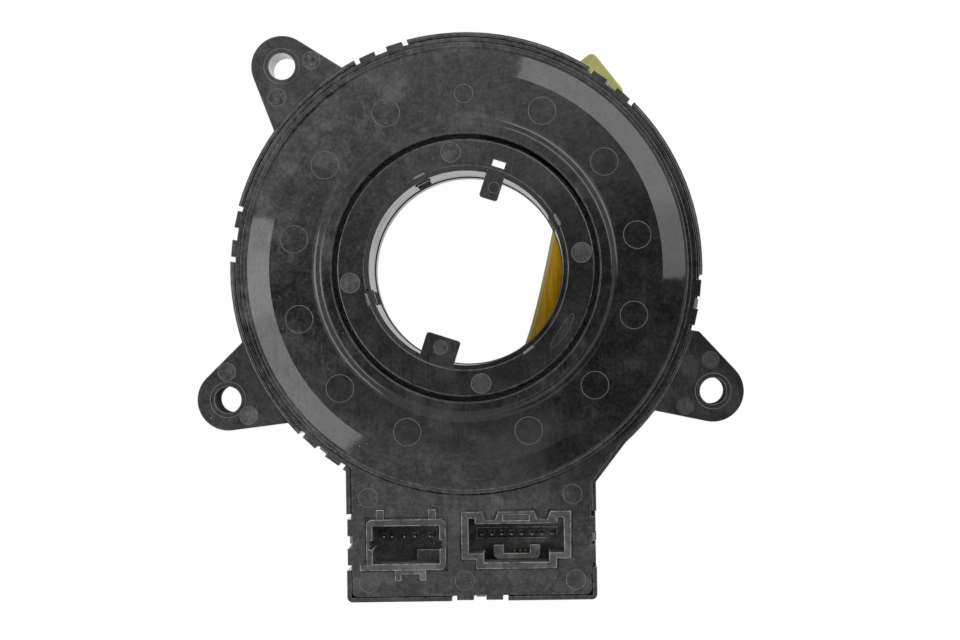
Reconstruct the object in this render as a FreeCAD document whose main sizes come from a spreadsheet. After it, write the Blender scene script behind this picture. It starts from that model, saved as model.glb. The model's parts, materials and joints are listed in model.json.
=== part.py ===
import FreeCAD, Part
import Sketcher
import math
import os

# Steering clock spring. Millimetres, +Z towards the steering column, origin on the turning axis
# in the plane where the screw ears seat. The wheel side faces down.

Vector = FreeCAD.Vector

sizes = {
    # round case
    "case_radius": 51.7,
    "case_wall": 1.0,
    "case_depth": 16.0,
    "lip_thickness": 1.4,
    "lip_width": 6.2,
    "rim_break": 0.4,
    # socket block of the case
    "block_left": 26.95,
    "block_right": 27.75,
    "block_reach": 21.1,
    "block_shoulder_angle": 45.0,
    "block_diagonal": 52.2,
    "block_round": 1.2,
    # screw ears
    "ear_angle_upper": 131.7,
    "ear_angle_lower": 208.2,
    "ear_angle_right": 332.8,
    "ear_reach_upper": 8.05,
    "ear_reach_lower": 7.8,
    "ear_reach_right": 8.6,
    "ear_radius": 6.75,
    "ear_thickness": 3.4,
    "ear_foot_before": 10.9,
    "ear_foot_after": 12.4,
    "boss_radius": 5.2,
    "boss_length": 11.0,
    "web_depth": 8.0,
    "web_thickness": 2.2,
    "screw_hole_radius": 2.95,
    "seat_ring_radius": 3.95,
    "seat_ring_height": 0.3,
    # snap latches
    "latch_angle": 350.8,
    "latch_step": 60.0,
    "latch_count": 5,
    "latch_gap": 2.7,
    "leg_width": 3.7,
    "slit_width": 1.1,
    "leg_gap": 0.1,
    "leg_set_back": 0.2,
    "leg_root": 1.2,
    "leg_foot": 4.0,
    "leg_bar": 1.8,
    "leg_rest_gap": 0.4,
    "recess_wall": 1.2,
    "recess_drop": 0.4,
    "wedge_side_gap": 0.3,
    "wedge_gap": 0.2,
    "wedge_height": 3.0,
    "wedge_flat": 0.4,
    "wedge_reach": 0.1,
    "left_latch_reach": 7.95,
    "right_latch_reach": 7.9,
    "bottom_latch_x": 2.1,
    # cover plate
    "plate_gap": 0.2,
    "plate_thickness": 1.6,
    "plate_rise": 2.0,
    "collar_rise": 3.0,
    "collar_gap": 1.1,
    "collar_land_width": 2.3,
    "collar_foot_width": 3.5,
    "collar_depth": 1.6,
    "collar_wall": 1.5,
    "cone_inset": 8.8,
    "cone_width": 5.0,
    "cone_end_rise": 0.2,
    "bead_inset": 3.2,
    "bead_width": 0.8,
    "bead_rise": 0.6,
    "skirt_depth": 2.4,
    "block_face_rise": 0.1,
    # left socket
    "left_socket_x": 13.85,
    "left_socket_reach": 8.5,
    "left_socket_width": 17.3,
    "left_socket_height": 11.1,
    "left_cavity_width": 14.6,
    "left_cavity_height": 8.25,
    "left_notch_width": 0.7,
    "left_notch_height": 1.9,
    "left_pin_1": -5.2,
    "left_pin_2": -3.45,
    "left_pin_3": -0.7,
    "left_pin_4": 1.6,
    "left_pin_5": 4.95,
    "left_pin_row": 1.3,
    "guide_rise": 1.2,
    "guide_bite": 0.5,
    "lug_width": 1.7,
    "lug_height": 2.1,
    "lug_left_offset": 5.65,
    "lug_right_offset": 5.75,
    "side_lug_reach": 1.5,
    "side_lug_height": 1.3,
    "bracket_left_offset": 2.5,
    "bracket_right_offset": 4.3,
    "bracket_leg_width": 1.4,
    "bracket_bar": 0.9,
    "bracket_drop": 2.3,
    "stop_offset": 2.0,
    "stop_height": 2.4,
    "stop_rise": 2.4,
    # right socket
    "right_socket_x": 10.2,
    "right_socket_reach": 1.55,
    "right_socket_half_width": 11.95,
    "right_dip_depth": 1.8,
    "right_shelf_depth": 10.3,
    "right_socket_height": 12.4,
    "right_bump_half_width": 3.9,
    "right_dip_half_width": 6.8,
    "right_foot_half_width": 8.8,
    "right_slope": 0.7,
    "right_cavity_half_width": 10.4,
    "right_cavity_top": 2.6,
    "right_cavity_height": 6.4,
    "right_cavity_foot_half_width": 7.1,
    "right_cavity_foot_drop": 2.0,
    "trough_width": 2.2,
    "trough_depth": 0.8,
    "bump_dent_width": 5.6,
    "bump_dent_height": 1.2,
    "bump_dent_depth": 0.4,
    "right_key_width": 1.4,
    "right_key_height": 1.2,
    "right_pin_pitch": 2.2,
    "right_pin_count": 8,
    "right_pin_row": 5.4,
    # both sockets
    "socket_rise": 2.0,
    "socket_rest_gap": 0.3,
    "socket_floor": 3.4,
    "socket_round": 1.3,
    "opening_gap": 0.25,
    "pin_side": 0.64,
    "pin_hole_gap": 0.05,
    "pin_stand": 4.6,
    # shorting clip
    "clip_half_width": 5.1,
    "clip_post": 2.2,
    "clip_post_height": 3.1,
    "clip_corner": 0.8,
    "clip_bar_height": 1.2,
    "clip_stand": 4.5,
    "contact_width": 0.7,
    "contact_pitch": 1.3,
    "contact_count": 3,
    "contact_offset": 0.75,
    "contact_reach": 1.1,
    "contact_drop": 0.5,
    # lead frame and terminal blocks
    "frame_thickness": 1.8,
    "frame_gap": 0.1,
    "frame_half_width": 22.0,
    "frame_edge_gap": 0.3,
    "frame_tongue_half_width": 7.5,
    "frame_tongue_inset": 3.2,
    "outer_block_depth": 8.3,
    "outer_block_half_width": 7.0,
    "outer_block_head_gap": 0.8,
    "outer_block_angle": 270.0,
    "inner_block_depth": 2.0,
    "inner_block_half_width": 5.0,
    "inner_block_head_gap": 0.2,
    "block_side_gap": 0.2,
    # flat cable
    "cable_thickness": 0.3,
    "cable_head_gap": 3.95,
    "cable_inner_gap": 1.2,
    "cable_outer_inset": 7.3,
    "cable_half_turns": 7,
    # rotor hub
    "bore_radius": 21.2,
    "sleeve_wall": 1.6,
    "drum_radius": 27.9,
    "drum_wall": 1.4,
    "hub_top": 0.5,
    "nose_wall": 2.2,
    "hub_nose_length": 7.8,
    "flange_step_gap": 0.4,
    "flange_inset": 4.2,
    "flange_lift": 0.8,
    "flange_gap": 0.4,
    "flange_thickness": 1.8,
    "rib_thickness": 1.0,
    "rib_count": 12,
    "rib_top": 3.0,
    "drive_pin_radius": 3.2,
    "drive_pin_inset": 9.5,
    "drive_pin_angle": 348.0,
    "tower_length": 14.8,
    "window_hole_half_width": 2.2,
    "window_hole_inner_gap": 1.0,
    "window_hole_outer_gap": 0.3,
    # rotor ring
    "ring_overhang": 0.4,
    "ring_top": 2.6,
    "seat_gap": 0.02,
    "lip_bevel": 1.1,
    "lip_drop": 1.1,
    "tongue_reach": 5.5,
    "tongue_top": 2.2,
    "narrow_tongue_width": 4.1,
    "wide_tongue_width": 7.7,
    "tongue_angle": 71.7,
    "window_width": 2.9,
    "window_height": 1.5,
    "window_offset": 2.5,
    "snap_angle_near": 44.6,
    "snap_angle_far": 125.2,
    "snap_width": 2.8,
    "snap_thickness": 0.9,
    "snap_length": 4.6,
    "snap_nub": 0.3,
    "snap_nub_height": 1.5,
    "snap_side_gap": 0.35,
    "snap_slit": 0.5,
    # wheel-side socket
    "wheel_socket_inset": 10.5,
    "wheel_socket_width": 20.0,
    "wheel_socket_height": 11.5,
    "wheel_cavity_width": 17.0,
    "wheel_cavity_height": 8.5,
    "wheel_cavity_depth": 10.0,
    "wheel_pin_pitch": 2.5,
    "wheel_pin_count": 6,
    "wheel_pin_tip_gap": 5.4,
    "wheel_pin_offset": 2.4,
    "wheel_pin_root_gap": 1.0,
    # lead cover, lead and plug
    "lead_diameter": 5.2,
    "lead_rest_gap": 0.5,
    "cover_left": 27.0,
    "cover_right": 14.5,
    "cover_inset": 9.5,
    "cover_width": 9.0,
    "cover_round": 2.0,
    "gland_radius": 3.9,
    "gland_length": 2.5,
    "gland_gap": 0.1,
    "gland_seat": 1.2,
    "lead_start_rise": 4.4,
    "plug_length": 19.0,
    "plug_width": 12.0,
    "plug_height": 8.4,
    "plug_round": 1.4,
    "plug_x": 32.4,
    "plug_y": 45.3,
    "plug_rise": 4.3,
    "plug_angle": 38.0,
    "nozzle_radius": 2.9,
    "nozzle_gap": 0.1,
    "nozzle_length": 11.0,
    "nose_radius": 4.0,
    "nose_length": 5.0,
    "nose_place": 13.0,
    "plug_contact_radius": 0.7,
    "plug_contact_gap": 0.08,
    "plug_contact_length": 4.0,
    "plug_contact_spacing": 3.2,
    "slider_length": 5.0,
    "slider_width": 6.0,
    "slider_height": 1.2,
    "plug_lock_gap": 0.8,
    # sheets
    "sheet_thickness": 0.25,
    "cover_sheet_gap": 0.7,
}


class Size:
    """A length or angle that carries its value and the expression that a property is bound to."""

    def __init__(self, value, text):
        self.value = float(value)
        self.text = text

    def combine(self, other, sign, flip=False):
        first = self
        second = as_size(other)
        if flip:
            first, second = second, first
        results = {
            "+": lambda: first.value + second.value,
            "-": lambda: first.value - second.value,
            "*": lambda: first.value * second.value,
            "/": lambda: first.value / second.value,
        }
        return Size(results[sign](), f"({first.text} {sign} {second.text})")

    def __add__(self, other):
        return self.combine(other, "+")

    def __radd__(self, other):
        return self.combine(other, "+", True)

    def __sub__(self, other):
        return self.combine(other, "-")

    def __rsub__(self, other):
        return self.combine(other, "-", True)

    def __mul__(self, other):
        return self.combine(other, "*")

    def __rmul__(self, other):
        return self.combine(other, "*", True)

    def __truediv__(self, other):
        return self.combine(other, "/")

    def __rtruediv__(self, other):
        return self.combine(other, "/", True)

    def __neg__(self):
        return as_size(0) - self


def as_size(number):
    if isinstance(number, Size):
        return number
    return Size(number, f"({float(number):.6f})")


def cosine(angle):
    return Size(math.cos(math.radians(angle.value)), f"cos({angle.text} * 1 deg)")


def sine(angle):
    return Size(math.sin(math.radians(angle.value)), f"sin({angle.text} * 1 deg)")


def square_root(number):
    return Size(math.sqrt(number.value), f"sqrt({number.text})")


def make_sheet(doc):
    sheet = doc.addObject("Spreadsheet::Sheet", "Sizes")
    for row, (name, value) in enumerate(sizes.items(), start=1):
        sheet.set(f"A{row}", name)
        sheet.set(f"B{row}", str(value))
        sheet.setAlias(f"B{row}", name)
    doc.recompute()


class Sheet:
    """Reads one named size of the sheet, as in s.case_radius."""

    def __getattr__(self, name):
        return Size(sizes[name], f"Sizes.{name}")


s = Sheet()


def bind(feature, path, size):
    feature.setExpression(path, as_size(size).text)


# Sketches and features shared by the sub-parts

def make_body(doc, name):
    body = doc.addObject("PartDesign::Body", name)
    body.Label = name
    return body


def origin_item(body, role):
    return next(item for item in body.Origin.OriginFeatures if item.Role == role)


def make_sketch(body, name, level=0, angle=0):
    """A sketch on the body's XY plane, raised to a level and turned about Z."""
    sketch = body.newObject("Sketcher::SketchObject", name)
    sketch.AttachmentSupport = [(origin_item(body, "XY_Plane"), "")]
    sketch.MapMode = "FlatFace"
    turn = FreeCAD.Rotation(Vector(0, 0, 1), as_size(angle).value or 1.0)
    sketch.AttachmentOffset = FreeCAD.Placement(Vector(0, 0, as_size(level).value), turn)
    bind(sketch, ".AttachmentOffset.Base.z", level)
    bind(sketch, ".AttachmentOffset.Rotation.Angle", angle)
    return sketch


def make_radial_sketch(body, name, angle=0, x=0, y=0):
    """An upright sketch: its x runs outwards at the angle from the point x, y, and its y is +Z."""
    sketch = body.newObject("Sketcher::SketchObject", name)
    sketch.AttachmentSupport = [(origin_item(body, "XZ_Plane"), "")]
    sketch.MapMode = "FlatFace"
    turn = FreeCAD.Rotation(Vector(0, 1, 0), as_size(angle).value or 1.0)
    base = Vector(as_size(x).value, 0, -as_size(y).value)
    sketch.AttachmentOffset = FreeCAD.Placement(base, turn)
    bind(sketch, ".AttachmentOffset.Base.x", x)
    bind(sketch, ".AttachmentOffset.Base.z", -as_size(y))
    bind(sketch, ".AttachmentOffset.Rotation.Angle", angle)
    return sketch


def fix_point(sketch, edge, end, x, y):
    for kind, size in (("DistanceX", as_size(x)), ("DistanceY", as_size(y))):
        index = sketch.addConstraint(Sketcher.Constraint(kind, -1, 1, edge, end, size.value))
        bind(sketch, f"Constraints[{index}]", size)


def draw_outline(sketch, corners):
    corners = [(as_size(x), as_size(y)) for x, y in corners]
    first = sketch.GeometryCount
    count = len(corners)
    for index, (x, y) in enumerate(corners):
        next_x, next_y = corners[(index + 1) % count]
        start = Vector(x.value, y.value, 0)
        end = Vector(next_x.value, next_y.value, 0)
        sketch.addGeometry(Part.LineSegment(start, end), False)
    for index in range(count):
        follower = first + (index + 1) % count
        sketch.addConstraint(Sketcher.Constraint("Coincident", first + index, 2, follower, 1))
    for index, (x, y) in enumerate(corners):
        fix_point(sketch, first + index, 1, x, y)


def draw_circle(sketch, radius, x=0, y=0):
    radius = as_size(radius)
    x = as_size(x)
    y = as_size(y)
    centre = Vector(x.value, y.value, 0)
    edge = sketch.addGeometry(Part.Circle(centre, Vector(0, 0, 1), radius.value), False)
    index = sketch.addConstraint(Sketcher.Constraint("Radius", edge, radius.value))
    bind(sketch, f"Constraints[{index}]", radius)
    fix_point(sketch, edge, 3, x, y)


def box_corners(left, right, low, high):
    return [(left, low), (right, low), (right, high), (left, high)]


def centred_corners(x, y, width, height):
    half_width = as_size(width) / 2
    half_height = as_size(height) / 2
    return box_corners(x - half_width, x + half_width, y - half_height, y + half_height)


def revolve(body, name, profile):
    sketch = make_radial_sketch(body, name + "Profile")
    draw_outline(sketch, profile)
    feature = body.newObject("PartDesign::Revolution", name)
    feature.Profile = sketch
    feature.ReferenceAxis = (sketch, ["V_Axis"])
    feature.Angle = 360
    return feature


def pad(body, name, sketch, length, reverse=False):
    feature = body.newObject("PartDesign::Pad", name)
    feature.Profile = sketch
    feature.Length = as_size(length).value
    bind(feature, "Length", length)
    feature.Reversed = reverse
    return feature


def pocket(body, name, sketch, length):
    body.Document.recompute()
    before = body.Shape.Volume
    feature = body.newObject("PartDesign::Pocket", name)
    feature.Profile = sketch
    feature.Length = as_size(length).value
    bind(feature, "Length", length)
    body.Document.recompute()
    if body.Shape.Volume >= before - 1e-6:
        raise RuntimeError(f"{body.Label}: {name} cuts nothing")
    return feature


def pattern_round(body, name, features, count, step):
    feature = body.newObject("PartDesign::PolarPattern", name)
    feature.Originals = features
    feature.Axis = (origin_item(body, "Z_Axis"), [""])
    count = as_size(count)
    spread = (count - 1) * step
    feature.Angle = spread.value
    feature.Occurrences = int(count.value)
    bind(feature, "Angle", spread)
    bind(feature, "Occurrences", count)
    body.Tip = feature
    return feature


def round_edges(body, name, radius, chosen):
    body.Document.recompute()
    base = body.Tip
    edges = [f"Edge{number}" for number, edge in enumerate(base.Shape.Edges, start=1) if chosen(edge)]
    if not edges:
        raise RuntimeError(f"{body.Label}: {name} finds no edge")
    feature = body.newObject("PartDesign::Fillet", name)
    feature.Base = (base, edges)
    feature.Radius = as_size(radius).value
    bind(feature, "Radius", radius)
    return feature


def upright(edge):
    return len(edge.Vertexes) == 2 and abs(edge.Vertexes[0].Z - edge.Vertexes[1].Z) > 0.99 * edge.Length


def pad_across(body, name, sketch, width):
    """A pad that reaches half its width to each side of its sketch."""
    feature = pad(body, name, sketch, width)
    feature.SideType = "Symmetric"
    return feature


# Places that follow the round case, its depth, the drum and the bore

def case_lip_radius():
    return s.case_radius - s.lip_width


def floor_depth():
    return s.case_depth - s.lip_thickness


def socket_bottom():
    return floor_depth() - s.frame_thickness - s.frame_gap - s.socket_rest_gap


def cavity_floor():
    return socket_bottom() - s.socket_floor


def clip_top():
    return cavity_floor() - s.clip_stand


def leg_end():
    return s.case_depth - s.leg_foot


def wedge_end():
    return leg_end() - s.leg_bar - s.wedge_gap


def recess_top():
    return s.skirt_depth + s.recess_drop


def flange_top():
    return s.case_depth - s.flange_lift


def flange_step():
    return s.case_depth + s.flange_gap


def flange_bottom():
    return flange_step() + s.flange_thickness


def flange_radius():
    return s.case_radius - s.flange_inset


def tower_end():
    return flange_bottom() + s.tower_length


def sleeve_radius():
    return s.bore_radius + s.sleeve_wall


def drum_inner_radius():
    return s.drum_radius - s.drum_wall


def ring_radius():
    return s.drum_radius + s.ring_overhang


def ring_lip_radius():
    return s.bore_radius + s.lip_bevel


def collar_inner_radius():
    return ring_radius() + s.collar_gap


def cable_base():
    return flange_top() - s.sheet_thickness - s.block_side_gap


def cable_height():
    return cable_base() - s.cable_head_gap


def wheel_socket_place():
    return flange_radius() - s.wheel_socket_inset


def cover_low_y():
    return flange_radius() - s.cover_inset


def lead_start_y():
    return cover_low_y() - s.cover_width / 2


def lead_start_depth():
    return tower_end() - s.lead_start_rise


def block_bottom():
    return s.case_radius + s.block_reach


def left_socket_y():
    return -(s.case_radius + s.left_socket_reach)


def right_socket_top():
    return -(s.case_radius + s.right_socket_reach)


def right_cavity_bottom():
    return right_socket_top() - s.right_cavity_top - s.right_cavity_height


def clip_low():
    return right_cavity_bottom() - s.right_cavity_foot_drop + s.block_side_gap


def flange_step_radius():
    return case_lip_radius() - s.flange_step_gap


def cone_start_radius():
    return s.case_radius - s.cone_inset


def left_pin_places():
    offsets = (s.left_pin_1, s.left_pin_2, s.left_pin_3, s.left_pin_4, s.left_pin_5)
    return [offset - s.left_socket_x for offset in offsets]


def even_places(middle, pitch, count):
    return [middle + (place - (count.value - 1) / 2) * pitch for place in range(int(count.value))]


# Stator case

def draw_block(sketch, inset, arc_radius):
    """The socket block's sides as lines and its top as an arc about the origin."""
    slope = s.block_diagonal
    left = -(s.block_left - inset)
    right = s.block_right - inset
    low = -(block_bottom() - inset)
    away = (s.case_radius - s.case_wall / 2) * cosine(s.block_shoulder_angle - slope) - inset
    turn_y = -((away - sine(slope) * right) / cosine(slope))
    shoulder_x = sine(slope) * away - cosine(slope) * square_root(arc_radius * arc_radius - away * away)
    left_top_y = -square_root(arc_radius * arc_radius - left * left)
    shoulder_y = -square_root(arc_radius * arc_radius - shoulder_x * shoulder_x)
    points = [(left, left_top_y), (left, low), (right, low), (right, turn_y), (shoulder_x, shoulder_y)]
    first = sketch.GeometryCount
    for (x, y), (next_x, next_y) in zip(points, points[1:]):
        start = Vector(x.value, y.value, 0)
        end = Vector(next_x.value, next_y.value, 0)
        sketch.addGeometry(Part.LineSegment(start, end), False)
    start_angle = math.atan2(left_top_y.value, left.value)
    end_angle = math.atan2(shoulder_y.value, shoulder_x.value)
    circle = Part.Circle(Vector(0, 0, 0), Vector(0, 0, 1), arc_radius.value)
    arc = sketch.addGeometry(Part.ArcOfCircle(circle, start_angle, end_angle), False)
    side = arc - 1
    for index in range(len(points) - 2):
        sketch.addConstraint(Sketcher.Constraint("Coincident", first + index, 2, first + index + 1, 1))
    sketch.addConstraint(Sketcher.Constraint("Coincident", arc, 1, first, 1))
    sketch.addConstraint(Sketcher.Constraint("Coincident", arc, 2, side, 2))
    sketch.addConstraint(Sketcher.Constraint("Coincident", arc, 3, -1, 1))
    for index in range(len(points) - 1):
        fix_point(sketch, first + index, 1, *points[index])
    index = sketch.addConstraint(Sketcher.Constraint("DistanceX", -1, 1, side, 2, shoulder_x.value))
    bind(sketch, f"Constraints[{index}]", shoulder_x)


def add_ear(body, name, angle, reach, ringed):
    """One screw ear: a plate whose sides run tangent from the rim to the round end, a boss and a web."""
    top = -s.seat_ring_height
    rim = s.case_radius - s.case_wall / 2
    low = (rim * cosine(s.ear_foot_before), -(rim * sine(s.ear_foot_before)))
    high = (rim * cosine(s.ear_foot_after), rim * sine(s.ear_foot_after))
    place = s.case_radius + reach
    pitch = place.value
    radius = s.ear_radius.value

    def touch_angle(point, side):
        offset = Vector(point[0].value - pitch, point[1].value, 0)
        return math.atan2(offset.y, offset.x) + side * math.acos(radius / offset.Length)

    low_angle = touch_angle(low, 1)
    high_angle = touch_angle(high, -1)
    low_touch = Vector(pitch + radius * math.cos(low_angle), radius * math.sin(low_angle), 0)
    high_touch = Vector(pitch + radius * math.cos(high_angle), radius * math.sin(high_angle), 0)
    low_foot = Vector(low[0].value, low[1].value, 0)
    high_foot = Vector(high[0].value, high[1].value, 0)
    plan = make_sketch(body, name + "Plan", top, angle)
    low_side = plan.addGeometry(Part.LineSegment(low_foot, low_touch), False)
    circle = Part.Circle(Vector(pitch, 0, 0), Vector(0, 0, 1), radius)
    end = plan.addGeometry(Part.ArcOfCircle(circle, low_angle, high_angle), False)
    high_side = plan.addGeometry(Part.LineSegment(high_touch, high_foot), False)
    foot = plan.addGeometry(Part.LineSegment(high_foot, low_foot), False)
    plan.addConstraint(Sketcher.Constraint("Tangent", low_side, 2, end, 1))
    plan.addConstraint(Sketcher.Constraint("Tangent", end, 2, high_side, 1))
    plan.addConstraint(Sketcher.Constraint("Coincident", high_side, 2, foot, 1))
    plan.addConstraint(Sketcher.Constraint("Coincident", foot, 2, low_side, 1))
    index = plan.addConstraint(Sketcher.Constraint("Radius", end, radius))
    bind(plan, f"Constraints[{index}]", s.ear_radius)
    fix_point(plan, end, 3, place, 0)
    fix_point(plan, low_side, 1, *low)
    fix_point(plan, foot, 1, *high)
    pad(body, name, plan, s.ear_thickness, reverse=True)
    overlap = s.ear_thickness / 2
    boss = make_sketch(body, name + "BossPlan", -s.boss_length, angle)
    draw_circle(boss, s.boss_radius, place)
    pad(body, name + "Boss", boss, s.boss_length - s.seat_ring_height - overlap)
    web = make_sketch(body, name + "WebPlan", -s.web_depth, angle)
    draw_outline(web, box_corners(rim, place, -(s.web_thickness / 2), s.web_thickness / 2))
    pad(body, name + "Web", web, s.web_depth - s.seat_ring_height - overlap)
    if ringed:
        ring = make_sketch(body, name + "RingPlan", top, angle)
        draw_circle(ring, s.seat_ring_radius, place)
        pad(body, name + "Ring", ring, s.seat_ring_height)
    hole = make_sketch(body, name + "HolePlan", 0, angle)
    draw_circle(hole, s.screw_hole_radius, place)
    pocket(body, name + "Hole", hole, s.boss_length)


def along_wall(reach, distance, rounded):
    """A point of a wall that faces along +X: on the circle of that reach, or on a straight wall."""
    if not rounded:
        return reach
    return square_root(reach * reach - distance * distance)


def latch_leg():
    return s.latch_gap / 2 + s.leg_width


def latch_slit():
    return latch_leg() + s.slit_width


def add_backing(body, name, inner, angle, place=0):
    """A thicker stretch of a wall, which leaves a floor behind a latch's recess."""
    half = latch_slit() + s.case_wall
    plan = make_sketch(body, name + "BackingPlan", -s.case_depth, angle)
    draw_outline(plan, box_corners(inner - s.recess_wall, inner + s.case_wall / 2, place - half, place + half))
    return pad(body, name + "Backing", plan, s.case_depth - recess_top())


def add_latch(body, name, inner, angle, place=0, rounded=False):
    """A recess in the outside of a wall, with a wedge in its middle that a cover loop snaps over."""
    half = latch_slit()
    outside = inner + s.case_wall * 2
    edge = along_wall(inner, half, rounded)
    notch = make_sketch(body, name + "NotchPlan", 0, angle)
    draw_outline(notch, box_corners(inner - s.recess_wall, outside, place - half, place + half))
    features = [pocket(body, name + "Notch", notch, recess_top())]
    recess = make_sketch(body, name + "RecessPlan", 0, angle)
    draw_outline(recess, [(edge, place - half), (outside, place - half), (outside, place + half),
                          (edge, place + half), (inner, place)])
    features.append(pocket(body, name + "Recess", recess, leg_end() + s.leg_rest_gap))
    return features


def add_wedge(body, name, inner, angle, x=0, y=0):
    wedge = make_radial_sketch(body, name + "Profile", angle, x, y)
    low = -wedge_end()
    tip = inner + s.case_wall + s.wedge_reach
    draw_outline(wedge, [
        (inner - s.guide_bite, low), (tip, low), (tip, low + s.wedge_flat),
        (inner - s.leg_gap, low + s.wedge_height), (inner - s.guide_bite, low + s.wedge_height),
    ])
    return pad_across(body, name, wedge, s.latch_gap - s.wedge_side_gap * 2)


def add_loop(body, name, edge, inner, angle, place=0, rounded=False):
    """Two legs that reach out over a wall and down its recess, joined by a bar below the wedge."""
    near = s.latch_gap / 2
    far = latch_leg()
    face = inner + s.leg_gap
    back = inner + s.case_wall - s.leg_set_back
    shoulder = make_sketch(body, name + "ShoulderPlan", s.block_face_rise, angle)
    legs = make_sketch(body, name + "LegPlan", s.block_face_rise, angle)
    for side in (-1, 1):
        low = near * side
        high = far * side
        draw_outline(shoulder, [(edge - s.leg_root, place + low), (along_wall(back, low, rounded), place + low),
                                (along_wall(back, high, rounded), place + high), (edge - s.leg_root, place + high)])
        draw_outline(legs, [(along_wall(face, low, rounded), place + low),
                            (along_wall(back, low, rounded), place + low),
                            (along_wall(back, high, rounded), place + high),
                            (along_wall(face, high, rounded), place + high)])
    features = [pad(body, name + "Shoulders", shoulder, s.skirt_depth + s.block_face_rise, reverse=True)]
    features.append(pad(body, name + "Legs", legs, leg_end() + s.block_face_rise, reverse=True))
    bar = make_sketch(body, name + "BarPlan", -leg_end(), angle)
    stations = (-far, -near, near, far)
    draw_outline(bar, [(along_wall(back, y, rounded), place + y) for y in stations]
                 + [(along_wall(face, y, rounded), place + y) for y in stations[::-1]])
    features.append(pad(body, name + "Bar", bar, s.leg_bar))
    return features


def make_stator_case(doc):
    body = make_body(doc, "stator_case")
    inner = s.case_radius - s.case_wall
    middle = s.case_radius - s.case_wall / 2
    bottom = -s.case_depth
    floor = bottom + s.lip_thickness
    revolve(body, "RoundWall", [
        (case_lip_radius(), bottom),
        (s.case_radius - s.rim_break, bottom),
        (s.case_radius, bottom + s.rim_break),
        (s.case_radius, -s.rim_break),
        (s.case_radius - s.rim_break, 0),
        (inner, 0),
        (inner, floor),
        (case_lip_radius(), floor),
    ])
    block = make_sketch(body, "BlockPlan", bottom)
    draw_block(block, as_size(0), middle)
    pad(body, "Block", block, s.case_depth)
    round_edges(body, "BlockCorners", s.block_round,
                lambda edge: upright(edge) and edge.Vertexes[0].Y < -block_bottom().value + 1)
    add_ear(body, "UpperEar", s.ear_angle_upper, s.ear_reach_upper, True)
    add_ear(body, "LowerEar", s.ear_angle_lower, s.ear_reach_lower, False)
    add_ear(body, "RightEar", s.ear_angle_right, s.ear_reach_right, True)
    chamber = make_sketch(body, "ChamberPlan", 0)
    draw_circle(chamber, inner)
    pocket(body, "Chamber", chamber, s.case_depth - s.lip_thickness)
    cavity = make_sketch(body, "BlockCavityPlan", 0)
    draw_block(cavity, s.case_wall, s.case_radius)
    pocket(body, "BlockCavity", cavity, s.case_depth - s.lip_thickness)
    notch = make_sketch(body, "WallNotchPlan", 0)
    draw_block(notch, s.case_wall, inner - s.plate_gap / 2)
    pocket(body, "WallNotch", notch, s.skirt_depth + s.plate_gap)
    passage_height = s.frame_thickness + s.frame_gap * 2
    passage = make_sketch(body, "PassagePlan", floor + passage_height)
    reach = s.frame_tongue_half_width + s.block_side_gap
    draw_outline(passage, box_corners(-reach, reach, -(s.case_radius + s.case_wall), -(inner - s.case_wall)))
    pocket(body, "Passage", passage, passage_height)
    left_y = s.case_radius + s.left_latch_reach
    right_y = s.case_radius + s.right_latch_reach
    left_wall = s.block_left - s.case_wall
    right_wall = s.block_right - s.case_wall
    bottom_wall = block_bottom() - s.case_wall
    backing = add_backing(body, "Round", inner, s.latch_angle)
    pattern_round(body, "RoundBackings", [backing], s.latch_count, s.latch_step)
    add_backing(body, "Left", left_wall, 180, left_y)
    add_backing(body, "Right", right_wall, 0, -right_y)
    add_backing(body, "Bottom", bottom_wall, 270, s.bottom_latch_x)
    latch = add_latch(body, "Round", inner, s.latch_angle, rounded=True)
    pattern_round(body, "RoundLatches", latch, s.latch_count, s.latch_step)
    add_latch(body, "Left", left_wall, 180, left_y)
    add_latch(body, "Right", right_wall, 0, -right_y)
    add_latch(body, "Bottom", bottom_wall, 270, s.bottom_latch_x)
    wedge = add_wedge(body, "RoundWedge", inner, s.latch_angle)
    pattern_round(body, "RoundWedges", [wedge], s.latch_count, s.latch_step)
    add_wedge(body, "LeftWedge", left_wall, 180, 0, -left_y)
    add_wedge(body, "RightWedge", right_wall, 0, 0, -right_y)
    add_wedge(body, "BottomWedge", bottom_wall, 270, s.bottom_latch_x, 0)
    return body


# Stator cover

def right_socket_outline(grow):
    """Three bumps along the top edge and a narrower foot below, grown outwards by a gap."""
    x = s.right_socket_x
    half = s.right_socket_half_width + grow
    bump = s.right_bump_half_width + grow
    dip = s.right_dip_half_width - grow
    foot = s.right_foot_half_width + grow
    top = right_socket_top() + grow
    low_top = top - s.right_dip_depth
    shelf = right_socket_top() - s.right_shelf_depth - grow
    bottom = right_socket_top() - s.right_socket_height - grow
    slope = s.right_slope
    return [
        (x - half, top), (x - half, shelf), (x - foot, shelf), (x - foot, bottom),
        (x + foot, bottom), (x + foot, shelf), (x + half, shelf), (x + half, top),
        (x + dip + slope, top), (x + dip, low_top), (x + bump + slope, low_top), (x + bump, top),
        (x - bump, top), (x - bump - slope, low_top), (x - dip, low_top), (x - dip - slope, top),
    ]


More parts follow.
